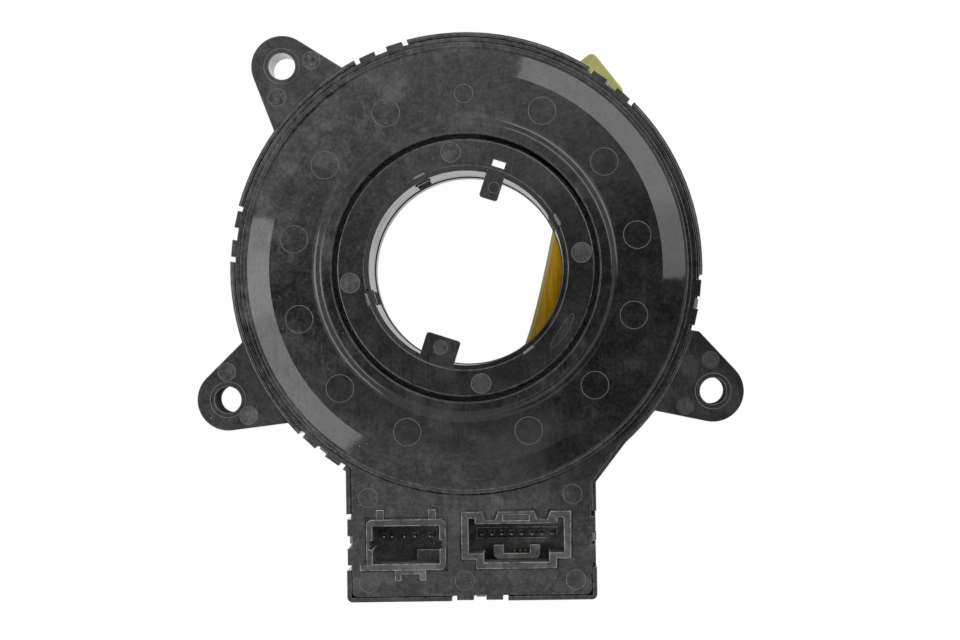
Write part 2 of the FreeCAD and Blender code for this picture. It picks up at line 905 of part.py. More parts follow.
def make_stator_cover(doc):
    body = make_body(doc, "stator_cover")
    inner = s.case_radius - s.case_wall
    edge = inner - s.plate_gap
    skirt = -s.skirt_depth
    underside = s.plate_rise - s.plate_thickness
    cone_start = cone_start_radius()
    cone_end = cone_start + s.cone_width
    bead = s.case_radius - s.bead_inset
    collar = collar_inner_radius()
    revolve(body, "RingPlate", [
        (collar, s.collar_rise),
        (collar, -s.collar_depth),
        (collar + s.collar_wall, -s.collar_depth),
        (collar + s.collar_wall, underside),
        (cone_start - s.rim_break, underside),
        (cone_end + s.rim_break, skirt),
        (edge, skirt),
        (edge, s.block_face_rise),
        (bead + s.bead_width + s.rim_break, s.block_face_rise),
        (bead + s.bead_width, s.bead_rise),
        (bead, s.bead_rise),
        (cone_end, s.cone_end_rise),
        (cone_start, s.plate_rise),
        (collar + s.collar_foot_width, s.plate_rise),
        (collar + s.collar_land_width, s.collar_rise),
    ])
    block = make_sketch(body, "BlockFacePlan", skirt)
    draw_block(block, s.case_wall + s.plate_gap, edge - s.plate_gap / 2)
    pad(body, "BlockFace", block, s.skirt_depth + s.block_face_rise)
    round_edges(body, "FaceCorners", s.block_round - s.plate_gap,
                lambda edge: upright(edge) and edge.Vertexes[0].Y < -block_bottom().value + 2.5)
    left = make_sketch(body, "LeftOpeningPlan", s.block_face_rise)
    draw_outline(left, centred_corners(-s.left_socket_x, left_socket_y(),
                                       s.left_socket_width + s.opening_gap * 2,
                                       s.left_socket_height + s.opening_gap * 2))
    cut = s.skirt_depth + s.block_face_rise
    pocket(body, "LeftOpening", left, cut)
    right = make_sketch(body, "RightOpeningPlan", s.block_face_rise)
    draw_outline(right, right_socket_outline(s.opening_gap))
    pocket(body, "RightOpening", right, cut)
    left_wall = s.block_left - s.case_wall
    right_wall = s.block_right - s.case_wall
    bottom_wall = block_bottom() - s.case_wall
    gap = s.plate_gap
    loop = add_loop(body, "Round", edge, inner, s.latch_angle, rounded=True)
    pattern_round(body, "RoundLoops", loop, s.latch_count, s.latch_step)
    add_loop(body, "Left", left_wall - gap, left_wall, 180, s.case_radius + s.left_latch_reach)
    add_loop(body, "Right", right_wall - gap, right_wall, 0, -(s.case_radius + s.right_latch_reach))
    add_loop(body, "Bottom", bottom_wall - gap, bottom_wall, 270, s.bottom_latch_x)
    return body


# Harness sockets

def make_left_socket(doc):
    body = make_body(doc, "left_socket")
    x = -s.left_socket_x
    y = left_socket_y()
    half_width = s.left_socket_width / 2
    half_height = s.left_socket_height / 2
    shell = make_sketch(body, "ShellPlan", -socket_bottom())
    draw_outline(shell, centred_corners(x, y, s.left_socket_width, s.left_socket_height))
    pad(body, "Shell", shell, socket_bottom() + s.socket_rise)
    round_edges(body, "ShellCorners", s.socket_round, upright)
    cavity = make_sketch(body, "CavityPlan", s.socket_rise)
    inner_half = s.left_cavity_width / 2
    inner_high = s.left_cavity_height / 2
    side = inner_half + s.left_notch_width
    notch = s.left_notch_height / 2
    draw_outline(cavity, [
        (x - inner_half, y - inner_high), (x + inner_half, y - inner_high),
        (x + inner_half, y - notch), (x + side, y - notch),
        (x + side, y + notch), (x + inner_half, y + notch),
        (x + inner_half, y + inner_high), (x - inner_half, y + inner_high),
        (x - inner_half, y + notch), (x - side, y + notch),
        (x - side, y - notch), (x - inner_half, y - notch),
    ])
    pocket(body, "Cavity", cavity, s.socket_rise + cavity_floor())
    guides = make_sketch(body, "GuidePlan", s.block_face_rise + s.opening_gap / 2)
    top = y + half_height
    bottom = y - half_height
    bite = s.guide_bite
    for offset in (-s.lug_left_offset, s.lug_right_offset):
        draw_outline(guides, box_corners(x + offset - s.lug_width / 2, x + offset + s.lug_width / 2,
                                         top - bite, top + s.lug_height))
    draw_outline(guides, box_corners(x - half_width - s.side_lug_reach, x - half_width + bite * 2,
                                     bottom, bottom + s.side_lug_height))
    bracket_left = x - s.bracket_left_offset
    bracket_right = x + s.bracket_right_offset
    leg = s.bracket_leg_width
    draw_outline(guides, [
        (bracket_left, bottom + bite), (bracket_left, bottom - s.bracket_drop),
        (bracket_left + leg, bottom - s.bracket_drop), (bracket_left + leg, bottom - s.bracket_bar),
        (bracket_right - leg, bottom - s.bracket_bar), (bracket_right - leg, bottom - s.bracket_drop),
        (bracket_right, bottom - s.bracket_drop), (bracket_right, bottom + bite),
    ])
    pad(body, "Guides", guides, s.guide_rise)
    stop = make_sketch(body, "StopPlan", -cavity_floor())
    draw_outline(stop, box_corners(x + s.stop_offset, x + inner_half, y - inner_high, y - inner_high + s.stop_height))
    pad(body, "Stop", stop, s.stop_rise)
    add_pin_holes(body, left_pin_places(), y + s.left_pin_row, -cavity_floor(), socket_bottom())
    return body


def add_pin_holes(body, places, y, level, bottom):
    """A row of square holes from a level down through a socket's floor."""
    side = s.pin_side + s.pin_hole_gap * 2
    holes = make_sketch(body, "PinHolePlan", level)
    for x in places:
        draw_outline(holes, centred_corners(x, y, side, side))
    pocket(body, "PinHoles", holes, level + bottom)


def make_pins(doc, name, places, y, root, tip):
    """A row of square pins from their root level to their tips."""
    body = make_body(doc, name)
    plan = make_sketch(body, "PinPlan", root)
    for x in places:
        draw_outline(plan, centred_corners(x, y, s.pin_side, s.pin_side))
    pad(body, "Pins", plan, tip - root)
    return body


def make_right_socket(doc):
    body = make_body(doc, "right_socket")
    x = s.right_socket_x
    shell = make_sketch(body, "ShellPlan", -socket_bottom())
    draw_outline(shell, right_socket_outline(as_size(0)))
    pad(body, "Shell", shell, socket_bottom() + s.socket_rise)
    cavity = make_sketch(body, "CavityPlan", s.socket_rise)
    half = s.right_cavity_half_width
    key = half - s.right_key_width
    top = right_socket_top() - s.right_cavity_top
    bottom = right_cavity_bottom()
    pin_row = right_socket_top() - s.right_pin_row
    foot = s.right_cavity_foot_half_width
    draw_outline(cavity, [
        (x - half, top + s.right_key_height), (x - half, bottom),
        (x - foot, bottom), (x - foot, bottom - s.right_cavity_foot_drop),
        (x + foot, bottom - s.right_cavity_foot_drop), (x + foot, bottom),
        (x + half, bottom), (x + half, top + s.right_key_height),
        (x + key, top + s.right_key_height), (x + key, top),
        (x - key, top), (x - key, top + s.right_key_height),
    ])
    pocket(body, "Cavity", cavity, s.socket_rise + cavity_floor())
    pin_row_half = s.right_pin_pitch * (s.right_pin_count - 1) / 2
    trough = make_sketch(body, "TroughPlan", -cavity_floor())
    draw_outline(trough, centred_corners(x, pin_row, pin_row_half * 2 + s.trough_width, s.trough_width))
    pocket(body, "Trough", trough, s.trough_depth)
    dent = make_sketch(body, "BumpDentPlan", s.socket_rise)
    draw_outline(dent, centred_corners(x, right_socket_top() - s.right_cavity_top / 2,
                                       s.bump_dent_width, s.bump_dent_height))
    pocket(body, "BumpDent", dent, s.bump_dent_depth)
    add_pin_holes(body, even_places(x, s.right_pin_pitch, s.right_pin_count), pin_row,
                  -cavity_floor(), socket_bottom())
    return body


def make_shorting_clip(doc):
    """A U of two posts and a bar that stands on the right socket's floor."""
    body = make_body(doc, "shorting_clip")
    x = s.right_socket_x
    half = s.clip_half_width
    inner = half - s.clip_post
    low = clip_low()
    top = low + s.clip_post_height
    bar = low + s.clip_bar_height
    plan = make_sketch(body, "ClipPlan", -cavity_floor())
    draw_outline(plan, [
        (x - half, low + s.clip_corner), (x - half, top), (x - inner, top), (x - inner, bar),
        (x + inner, bar), (x + inner, top), (x + half, top), (x + half, low + s.clip_corner),
        (x + half - s.clip_corner, low), (x - half + s.clip_corner, low),
    ])
    pad(body, "Clip", plan, cavity_floor() - clip_top())
    return body


def make_shorting_contacts(doc):
    body = make_body(doc, "shorting_contacts")
    low = clip_low() + s.clip_bar_height
    plan = make_sketch(body, "ContactPlan", -cavity_floor())
    for x in even_places(s.right_socket_x + s.contact_offset, s.contact_pitch, s.contact_count):
        draw_outline(plan, box_corners(x - s.contact_width / 2, x + s.contact_width / 2, low, low + s.contact_reach))
    pad(body, "Contacts", plan, cavity_floor() - clip_top() - s.contact_drop)
    return body


# Inside the case

def make_lead_frame(doc):
    body = make_body(doc, "lead_frame")
    floor = -s.case_depth + s.lip_thickness
    wall = s.case_radius + s.block_side_gap
    half = s.frame_half_width
    tongue = s.frame_tongue_half_width
    low = -(block_bottom() - s.case_wall - s.recess_wall - s.frame_edge_gap)
    reach = s.case_radius - s.outer_block_depth + s.frame_tongue_inset
    plan = make_sketch(body, "FramePlan", floor + s.frame_gap)
    draw_outline(plan, [
        (-half, low), (half, low), (half, -wall), (tongue, -wall),
        (tongue, -reach), (-tongue, -reach), (-tongue, -wall), (-half, -wall),
    ])
    pad(body, "Frame", plan, s.frame_thickness)
    return body


def make_outer_terminal_block(doc):
    body = make_body(doc, "outer_terminal_block")
    depth = floor_depth() - s.frame_thickness - s.frame_gap * 2
    outer = s.case_radius - s.case_wall - s.block_side_gap
    half = s.outer_block_half_width
    corner = square_root(outer * outer - half * half)
    inner = s.case_radius - s.outer_block_depth
    plan = make_sketch(body, "TerminalPlan", -depth, s.outer_block_angle)
    draw_outline(plan, [
        (inner, -half), (corner, -half), (outer, -(half / 3)),
        (outer, half / 3), (corner, half), (inner, half),
    ])
    pad(body, "Terminal", plan, depth - s.skirt_depth - s.outer_block_head_gap)
    return body


def cable_inner_radius():
    return sizes["drum_radius"] + sizes["cable_inner_gap"]


def cable_outer_radius():
    return sizes["case_radius"] - sizes["cable_outer_inset"]


def cable_end_angle():
    """The angle where the cable meets the side of the outer terminal block."""
    side = sizes["outer_block_half_width"] + sizes["block_side_gap"]
    return sizes["outer_block_angle"] - math.degrees(math.asin(side / cable_outer_radius()))


def cable_start_angle():
    return cable_end_angle() - 180 * sizes["cable_half_turns"]


def make_inner_terminal_block(doc):
    body = make_body(doc, "inner_terminal_block")
    side = sizes["inner_block_half_width"] + sizes["block_side_gap"]
    turn = math.degrees(math.asin(side / cable_inner_radius()))
    plan = make_sketch(body, "TerminalPlan", -cable_base())
    seat = s.drum_radius + s.frame_gap
    draw_outline(plan, box_corners(seat, s.drum_radius + s.inner_block_depth,
                                   -s.inner_block_half_width, s.inner_block_half_width))
    pad(body, "Terminal", plan, cable_height() - s.inner_block_head_gap)
    body.Placement = FreeCAD.Placement(
        Vector(0, 0, 0), FreeCAD.Rotation(Vector(0, 0, 1), (cable_start_angle() - turn) % 360))
    return body


def make_flat_cable(doc):
    """A ribbon on edge, wound as half circles about two centres one step apart."""
    half = sizes["cable_thickness"] / 2
    half_turns = int(sizes["cable_half_turns"])
    step = (cable_outer_radius() - cable_inner_radius()) / (half_turns - 1)
    inner_side = []
    outer_side = []
    for turn in range(half_turns):
        radius = cable_inner_radius() + step * turn
        side = 1 if turn % 2 == 0 else -1
        centre = Vector(0 if side == 1 else step, 0, 0)
        for offset, edges in ((-half, inner_side), (half, outer_side)):
            reach = Vector((radius + offset) * side, 0, 0)
            top = Vector(0, (radius + offset) * side, 0)
            edges.append(Part.Arc(centre + reach, centre + top, centre - reach).toShape())
    start = Part.LineSegment(inner_side[0].Vertexes[0].Point, outer_side[0].Vertexes[0].Point).toShape()
    end = Part.LineSegment(outer_side[-1].Vertexes[-1].Point, inner_side[-1].Vertexes[-1].Point).toShape()
    loop = Part.Wire([start] + outer_side + [end] + inner_side[::-1])
    ribbon = Part.Face(loop).extrude(Vector(0, 0, cable_height().value))
    cable = doc.addObject("Part::Feature", "flat_cable")
    cable.Label = "flat_cable"
    cable.Shape = ribbon
    cable.Placement = FreeCAD.Placement(
        Vector(0, 0, -cable_base().value), FreeCAD.Rotation(Vector(0, 0, 1), cable_start_angle() % 360))
    return cable


def make_washer(doc, name, inner_radius, outer_radius, base):
    """A thin round sheet with a hole."""
    disc = doc.addObject("Part::Cylinder", name + "_disc")
    bind(disc, "Radius", outer_radius)
    bind(disc, "Height", s.sheet_thickness)
    bind(disc, "Placement.Base.z", base)
    hole = doc.addObject("Part::Cylinder", name + "_hole")
    bind(hole, "Radius", inner_radius)
    bind(hole, "Height", s.sheet_thickness * 3)
    bind(hole, "Placement.Base.z", base - s.sheet_thickness)
    washer = doc.addObject("Part::Cut", name)
    washer.Label = name
    washer.Base = disc
    washer.Tool = hole
    return washer


# Rotor

def make_rotor_hub(doc):
    body = make_body(doc, "rotor_hub")
    bore = s.bore_radius
    sleeve = sleeve_radius()
    drum_inner = drum_inner_radius()
    web_top = -flange_step()
    top = -flange_top()
    bottom = -flange_bottom()
    nose_end = bottom - s.hub_nose_length
    nose = bore + s.nose_wall
    revolve(body, "HubProfile", [
        (bore, s.hub_top), (bore, nose_end), (nose, nose_end), (nose, bottom),
        (flange_radius(), bottom), (flange_radius(), web_top),
        (flange_step_radius(), web_top), (flange_step_radius(), top), (s.drum_radius, top),
        (s.drum_radius, s.hub_top), (drum_inner, s.hub_top), (drum_inner, web_top),
        (sleeve, web_top), (sleeve, s.hub_top),
    ])
    bite = s.guide_bite
    rib = make_radial_sketch(body, "RibProfile", s.tongue_angle + 180 / s.rib_count)
    draw_outline(rib, box_corners(sleeve - bite, drum_inner + bite, web_top - bite, -s.rib_top))
    ribs = pad_across(body, "Rib", rib, s.rib_thickness)
    pattern_round(body, "Ribs", [ribs], s.rib_count, 360 / s.rib_count)
    window = make_sketch(body, "WindowHolePlan", web_top, s.tongue_angle)
    draw_outline(window, box_corners(sleeve + s.window_hole_inner_gap, drum_inner - s.window_hole_outer_gap,
                                     -s.window_hole_half_width, s.window_hole_half_width))
    pocket(body, "WindowHole", window, s.flange_thickness)
    for number, turn in enumerate(snap_angles(), start=1):
        notch = make_sketch(body, f"SnapNotchPlan{number}", s.hub_top, turn)
        half = s.snap_width / 2 + s.snap_side_gap
        draw_outline(notch, box_corners(bore - s.snap_nub, sleeve + s.snap_side_gap, -half, half))
        pocket(body, f"SnapNotch{number}", notch, s.hub_top + s.snap_length + s.snap_side_gap)
    pin = make_sketch(body, "DrivePinPlan", -tower_end(), s.drive_pin_angle)
    draw_circle(pin, s.drive_pin_radius, flange_radius() - s.drive_pin_inset)
    drive = pad(body, "DrivePin", pin, s.tower_length + bite)
    pattern_round(body, "DrivePins", [drive], 2, as_size(180))
    return body


def snap_angles():
    """The snap legs stand in two uneven pairs about the tongues' line."""
    return [s.tongue_angle - s.snap_angle_near, s.tongue_angle + s.snap_angle_near,
            s.tongue_angle - s.snap_angle_far, s.tongue_angle + s.snap_angle_far]


def make_rotor_ring(doc):
    body = make_body(doc, "rotor_ring")
    bore = s.bore_radius
    lip = ring_lip_radius()
    tip = bore - s.tongue_reach
    seat = s.hub_top + s.seat_gap
    revolve(body, "RingProfile", [
        (bore, seat), (ring_radius(), seat), (ring_radius(), s.ring_top - s.rim_break),
        (ring_radius() - s.rim_break, s.ring_top), (lip, s.ring_top), (bore, s.ring_top - s.lip_drop),
    ])
    for name, width, turn in (("NarrowTongue", s.narrow_tongue_width, s.tongue_angle),
                              ("WideTongue", s.wide_tongue_width, s.tongue_angle + 180)):
        half = width / 2
        tongue = make_sketch(body, name + "Plan", seat, turn)
        draw_outline(tongue, [
            (tip + s.rim_break, -half), (lip, -half), (lip, half), (tip + s.rim_break, half),
            (tip, half - s.rim_break), (tip, -half + s.rim_break),
        ])
        pad(body, name, tongue, s.tongue_top - seat)
    window = make_sketch(body, "WindowPlan", s.ring_top, s.tongue_angle)
    draw_outline(window, centred_corners(bore + s.window_offset, as_size(0), s.window_height, s.window_width))
    pocket(body, "Window", window, s.ring_top - seat)
    for number, turn in enumerate(snap_angles(), start=1):
        leg_inner = bore + s.frame_gap
        leg_outer = leg_inner + s.snap_thickness
        slit = make_sketch(body, f"SlitPlan{number}", s.ring_top, turn)
        half = s.snap_width / 2
        draw_outline(slit, box_corners(leg_outer, leg_outer + s.snap_slit, -half, half))
        pocket(body, f"Slit{number}", slit, s.ring_top - seat)
        leg = make_radial_sketch(body, f"SnapProfile{number}", turn)
        nub = leg_inner - s.snap_nub
        foot = s.hub_top - s.snap_length
        draw_outline(leg, [
            (leg_inner, seat + s.guide_bite), (leg_inner, foot + s.snap_nub_height),
            (nub, foot + s.snap_nub_height), (nub, foot + s.snap_nub_height / 2), (leg_inner, foot),
            (leg_outer, foot), (leg_outer, seat + s.guide_bite),
        ])
        pad_across(body, f"Snap{number}", leg, s.snap_width)
    return body


def make_wheel_socket(doc):
    body = make_body(doc, "wheel_socket")
    y = wheel_socket_place()
    floor = flange_bottom() + s.tower_length - s.wheel_cavity_depth
    shell = make_sketch(body, "ShellPlan", -tower_end())
    draw_outline(shell, centred_corners(as_size(0), y, s.wheel_socket_width, s.wheel_socket_height))
    pad(body, "Shell", shell, s.tower_length)
    round_edges(body, "ShellCorners", s.socket_round, upright)
    cavity = make_sketch(body, "CavityPlan", -floor)
    draw_outline(cavity, centred_corners(as_size(0), y, s.wheel_cavity_width, s.wheel_cavity_height))
    pocket(body, "Cavity", cavity, s.wheel_cavity_depth)
    add_pin_holes(body, even_places(as_size(0), s.wheel_pin_pitch, s.wheel_pin_count),
                  y + s.wheel_pin_offset, -flange_bottom(), floor)
    return body


# Airbag lead

def make_lead_cover(doc):
    body = make_body(doc, "lead_cover")
    plan = make_sketch(body, "CoverPlan", -tower_end())
    draw_outline(plan, box_corners(-s.cover_left, -s.cover_right, -cover_low_y(), -(cover_low_y() - s.cover_width)))
    pad(body, "Cover", plan, s.tower_length)
    round_edges(body, "CoverCorners", s.cover_round, upright)
    gland = body.newObject("PartDesign::AdditiveCylinder", "Gland")
    place_along_x(body, gland, -(s.cover_right + s.guide_bite))
    bind(gland, "Radius", s.gland_radius)
    bind(gland, "Height", s.gland_length + s.guide_bite)
    body.Document.recompute()
    bore = body.newObject("PartDesign::SubtractiveCylinder", "GlandBore")
    place_along_x(body, bore, -(s.cover_right + s.gland_seat))
    bind(bore, "Radius", s.lead_diameter / 2 + s.gland_gap)
    bind(bore, "Height", s.gland_length + s.gland_seat)
    return body


def place_along_x(body, feature, x):
    """Lays a cylinder along +X at the lead's height, from x on."""
    feature.AttachmentSupport = [(origin_item(body, "YZ_Plane"), "")]
    feature.MapMode = "FlatFace"
    feature.AttachmentOffset = FreeCAD.Placement(
        Vector(-lead_start_y().value, -lead_start_depth().value, x.value), FreeCAD.Rotation())
    bind(feature, ".AttachmentOffset.Base.x", -lead_start_y())
    bind(feature, ".AttachmentOffset.Base.y", -lead_start_depth())
    bind(feature, ".AttachmentOffset.Base.z", x)


def lead_route():
    """The lead's points by hand, from inside the gland to the plug's nozzle."""
    start_x = -(sizes["cover_right"] + sizes["gland_seat"]) + sizes["frame_gap"]
    start_y = -lead_start_y().value
    level = -lead_start_depth().value
    rest = -(tower_end() - s.lead_diameter / 2 - s.lead_rest_gap).value
    return [
        Vector(start_x, start_y, level),
        Vector(1.9, start_y, level),
        Vector(13.2, -24.8, rest),
        Vector(21.0, 4.2, rest),
        Vector(25.0, 26.85, rest),
    ]


def lead_path(points):
    """Straight runs joined by arcs that touch both runs."""
    edges = []
    start = points[0]
    for before, corner, after in zip(points, points[1:], points[2:]):
        back = before - corner
        ahead = after - corner
        turn = math.pi - back.getAngle(ahead)
        reach = 0.45 * min(back.Length, ahead.Length)
        radius = reach / math.tan(turn / 2)
        print(f"lead turn {math.degrees(turn):.1f} degrees, radius {radius:.1f} mm")
        back.normalize()
        ahead.normalize()
        first = corner + back * reach
        last = corner + ahead * reach
        middle = back + ahead
        middle.normalize()
        bulge = radius / math.cos(turn / 2) - radius
        edges.append(Part.LineSegment(start, first).toShape())
        edges.append(Part.Arc(first, corner + middle * bulge, last).toShape())
        start = last
    edges.append(Part.LineSegment(start, points[-1]).toShape())
    return Part.Wire(edges)


def make_airbag_lead(doc):
    points = lead_route()
    path = lead_path(points)
    radius = sizes["lead_diameter"] / 2
    direction = points[1] - points[0]
    section = Part.Wire([Part.makeCircle(radius, points[0], direction)])
    tube = path.makePipeShell([section], True, False)
    expected = math.pi * radius * radius * path.Length
    print(f"lead length {path.Length:.1f} mm, volume {tube.Volume:.1f} of {expected:.1f}")
    lead = doc.addObject("Part::Feature", "airbag_lead")
    lead.Label = "airbag_lead"
    lead.Shape = tube
    return lead


def plug_placement():
    return FreeCAD.Placement(
        Vector(sizes["plug_x"], sizes["plug_y"], -(tower_end() - s.plug_rise).value),
        FreeCAD.Rotation(Vector(0, 0, 1), sizes["plug_angle"]))


def make_airbag_plug(doc):
    """A rounded body along its own x, with a slanted cable nozzle and a round nose with two bores."""
    body = make_body(doc, "airbag_plug")
    half_height = s.plug_height / 2
    plan = make_sketch(body, "BodyPlan", -half_height)
    draw_outline(plan, box_corners(-s.plug_length, as_size(0), -(s.plug_width / 2), s.plug_width / 2))
    pad(body, "Housing", plan, s.plug_height)
    round_edges(body, "HousingCorners", s.plug_round, upright)
    nozzle = body.newObject("PartDesign::AdditiveCylinder", "Nozzle")
    body.Document.recompute()
    end = plug_placement().inverse().multVec(lead_route()[-1])
    run = lead_route()[-1] - lead_route()[-2]
    heading = math.degrees(math.atan2(run.y, run.x)) - sizes["plug_angle"]
    lay = FreeCAD.Rotation(Vector(0, 0, 1), heading) * FreeCAD.Rotation(Vector(0, 1, 0), 90)
    gap = Vector(run).normalize() * sizes["nozzle_gap"]
    gap = plug_placement().Rotation.inverted().multVec(gap)
    nozzle.Placement = FreeCAD.Placement(end + gap, lay)
    bind(nozzle, "Radius", s.nozzle_radius)
    bind(nozzle, "Height", s.nozzle_length)
    nose = make_sketch(body, "NosePlan", half_height - s.guide_bite)
    draw_circle(nose, s.nose_radius, -s.nose_place)
    pad(body, "Nose", nose, s.nose_length + s.guide_bite)
    bores = make_sketch(body, "NoseBorePlan", half_height + s.nose_length)
    for side in (-1, 1):
        draw_circle(bores, s.plug_contact_radius + s.plug_contact_gap, -s.nose_place,
                    s.plug_contact_spacing / 2 * side)
    pocket(body, "NoseBores", bores, s.nose_length)
    body.Placement = plug_placement()
    return body


def make_plug_contacts(doc):
    body = make_body(doc, "plug_contacts")
    plan = make_sketch(body, "ContactPlan", s.plug_height / 2 + s.frame_gap)
    for side in (-1, 1):
        draw_circle(plan, s.plug_contact_radius, -s.nose_place, s.plug_contact_spacing / 2 * side)
    pad(body, "Contacts", plan, s.plug_contact_length)
    body.Placement = plug_placement()
    return body


def make_plug_lock(doc):
    body = make_body(doc, "plug_lock")
    plan = make_sketch(body, "SliderPlan", s.plug_height / 2 + s.frame_gap / 2)
    centre = -(s.nose_place - s.nose_radius - s.plug_lock_gap - s.slider_length / 2)
    draw_outline(plan, centred_corners(centre, as_size(0), s.slider_length, s.slider_width))
    pad(body, "Slider", plan, s.slider_height)
    round_edges(body, "SliderCorners", s.rim_break * 2, upright)
    body.Placement = plug_placement()
    return body


def check_document(doc, parts):
    doc.recompute()
    for item in doc.Objects:
        if any(word in item.State for word in ("Invalid", "Error")):
            raise RuntimeError(f"{item.Name} failed: {item.State}")
    for name, item in parts.items():
        shape = item.Shape
        if shape.isNull() or not shape.isValid():
            raise RuntimeError(f"{name} has no valid shape")


def build_parts(doc):
    root = -(socket_bottom() + s.frame_gap)
    tip = -(cavity_floor() - s.pin_stand)
    floor = -flange_top() + s.frame_gap / 2
    underside = s.plate_rise - s.plate_thickness - s.sheet_thickness - s.frame_gap / 2
    return [
        make_stator_case(doc),
        make_stator_cover(doc),
        make_left_socket(doc),
        make_right_socket(doc),
        make_pins(doc, "left_pins", left_pin_places(), left_socket_y() + s.left_pin_row, root, tip),
        make_pins(doc, "right_pins", even_places(s.right_socket_x, s.right_pin_pitch, s.right_pin_count),
                  right_socket_top() - s.right_pin_row, root, tip),
        make_shorting_clip(doc),
        make_shorting_contacts(doc),
        make_lead_frame(doc),
        make_outer_terminal_block(doc),
        make_washer(doc, "cover_sheet", collar_inner_radius() + s.collar_wall + s.frame_gap,
                    cone_start_radius() - s.cover_sheet_gap, underside),
        make_flat_cable(doc),
        make_rotor_hub(doc),
        make_rotor_ring(doc),
        make_washer(doc, "slip_sheet", s.drum_radius + s.frame_gap * 3,
                    flange_step_radius() - s.frame_gap * 3, floor),
        make_inner_terminal_block(doc),
        make_wheel_socket(doc),
        make_pins(doc, "wheel_pins", even_places(as_size(0), s.wheel_pin_pitch, s.wheel_pin_count),
                  wheel_socket_place() + s.wheel_pin_offset, -(tower_end() - s.wheel_pin_tip_gap),
                  -(flange_bottom() + s.wheel_pin_root_gap)),
        make_lead_cover(doc),
        make_airbag_lead(doc),
        make_airbag_plug(doc),
        make_plug_contacts(doc),
        make_plug_lock(doc),
    ]


def main():
    doc = FreeCAD.newDocument("ClockSpring")
    make_sheet(doc)
    parts = {item.Label: item for item in build_parts(doc)}
    check_document(doc, parts)
    os.makedirs("parts", exist_ok=True)
    for name, item in parts.items():
        item.Shape.exportStep(f"parts/{name}.step")
        print(name, round(item.Shape.Volume, 1), "mm3,", len(item.Shape.Solids), "solids")


main()
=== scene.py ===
import json
import math
import bmesh
import bpy
from mathutils import Euler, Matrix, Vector


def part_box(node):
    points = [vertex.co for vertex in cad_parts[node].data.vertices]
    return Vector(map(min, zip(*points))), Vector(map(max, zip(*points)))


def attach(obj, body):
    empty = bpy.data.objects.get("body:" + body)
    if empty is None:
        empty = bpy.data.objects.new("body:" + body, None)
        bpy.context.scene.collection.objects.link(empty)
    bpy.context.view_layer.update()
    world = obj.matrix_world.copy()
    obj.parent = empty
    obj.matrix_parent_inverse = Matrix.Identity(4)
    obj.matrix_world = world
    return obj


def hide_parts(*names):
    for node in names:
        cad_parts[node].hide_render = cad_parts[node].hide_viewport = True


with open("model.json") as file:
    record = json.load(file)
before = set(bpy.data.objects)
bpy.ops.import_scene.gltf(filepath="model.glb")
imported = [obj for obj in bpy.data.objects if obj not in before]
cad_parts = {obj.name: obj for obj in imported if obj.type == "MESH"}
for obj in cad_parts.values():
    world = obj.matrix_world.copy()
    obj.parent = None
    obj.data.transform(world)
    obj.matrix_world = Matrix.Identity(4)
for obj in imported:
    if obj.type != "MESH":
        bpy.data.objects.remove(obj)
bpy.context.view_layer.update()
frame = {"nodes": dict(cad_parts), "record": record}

# A steering clock spring, seen from its column side.
# Sizes are in metres, or in millimetres where a name ends in Mm or a note says so.

mm = 0.001
nodes = frame["nodes"]
print("stage: frame loaded,", len(nodes), "nodes")


# camera

photoView = {
    "heightMm": 524.0,      # above the ears' seat plane
    "faceLevelMm": 2.0,     # the plane that the picture's scale is taken on
    "scaleMm": 0.2178,      # one picture pixel on that plane
    "footMm": (18.08, -16.84),    # straight below the lens
    "centreMm": (2.92, -11.40),   # what the picture's middle shows
    "rollDegrees": -0.75,
    "widthPixels": 960,
    "sensorMm": 36.0,
    "clipEnd": 20.0,
}


def placeCamera(view):
    shownWidth = view["scaleMm"] * view["widthPixels"]
    data = bpy.data.cameras.new("photoCamera")
    data.sensor_width = view["sensorMm"]
    data.lens = data.sensor_width * (view["heightMm"] - view["faceLevelMm"]) / shownWidth
    roll = math.radians(view["rollDegrees"])
    aside = Vector(view["centreMm"]) - Vector(view["footMm"])
    data.shift_x = (aside.x * math.cos(roll) + aside.y * math.sin(roll)) / shownWidth
    data.shift_y = (aside.y * math.cos(roll) - aside.x * math.sin(roll)) / shownWidth
    data.clip_end = view["clipEnd"]
    camera = bpy.data.objects.new("photoCamera", data)
    camera.location = Vector((*view["footMm"], view["heightMm"])) * mm
    camera.rotation_euler = Euler((0, 0, roll))
    bpy.context.scene.collection.objects.link(camera)
    bpy.context.scene.camera = camera


placeCamera(photoView)
print("stage: camera")


# shader and geometry maths

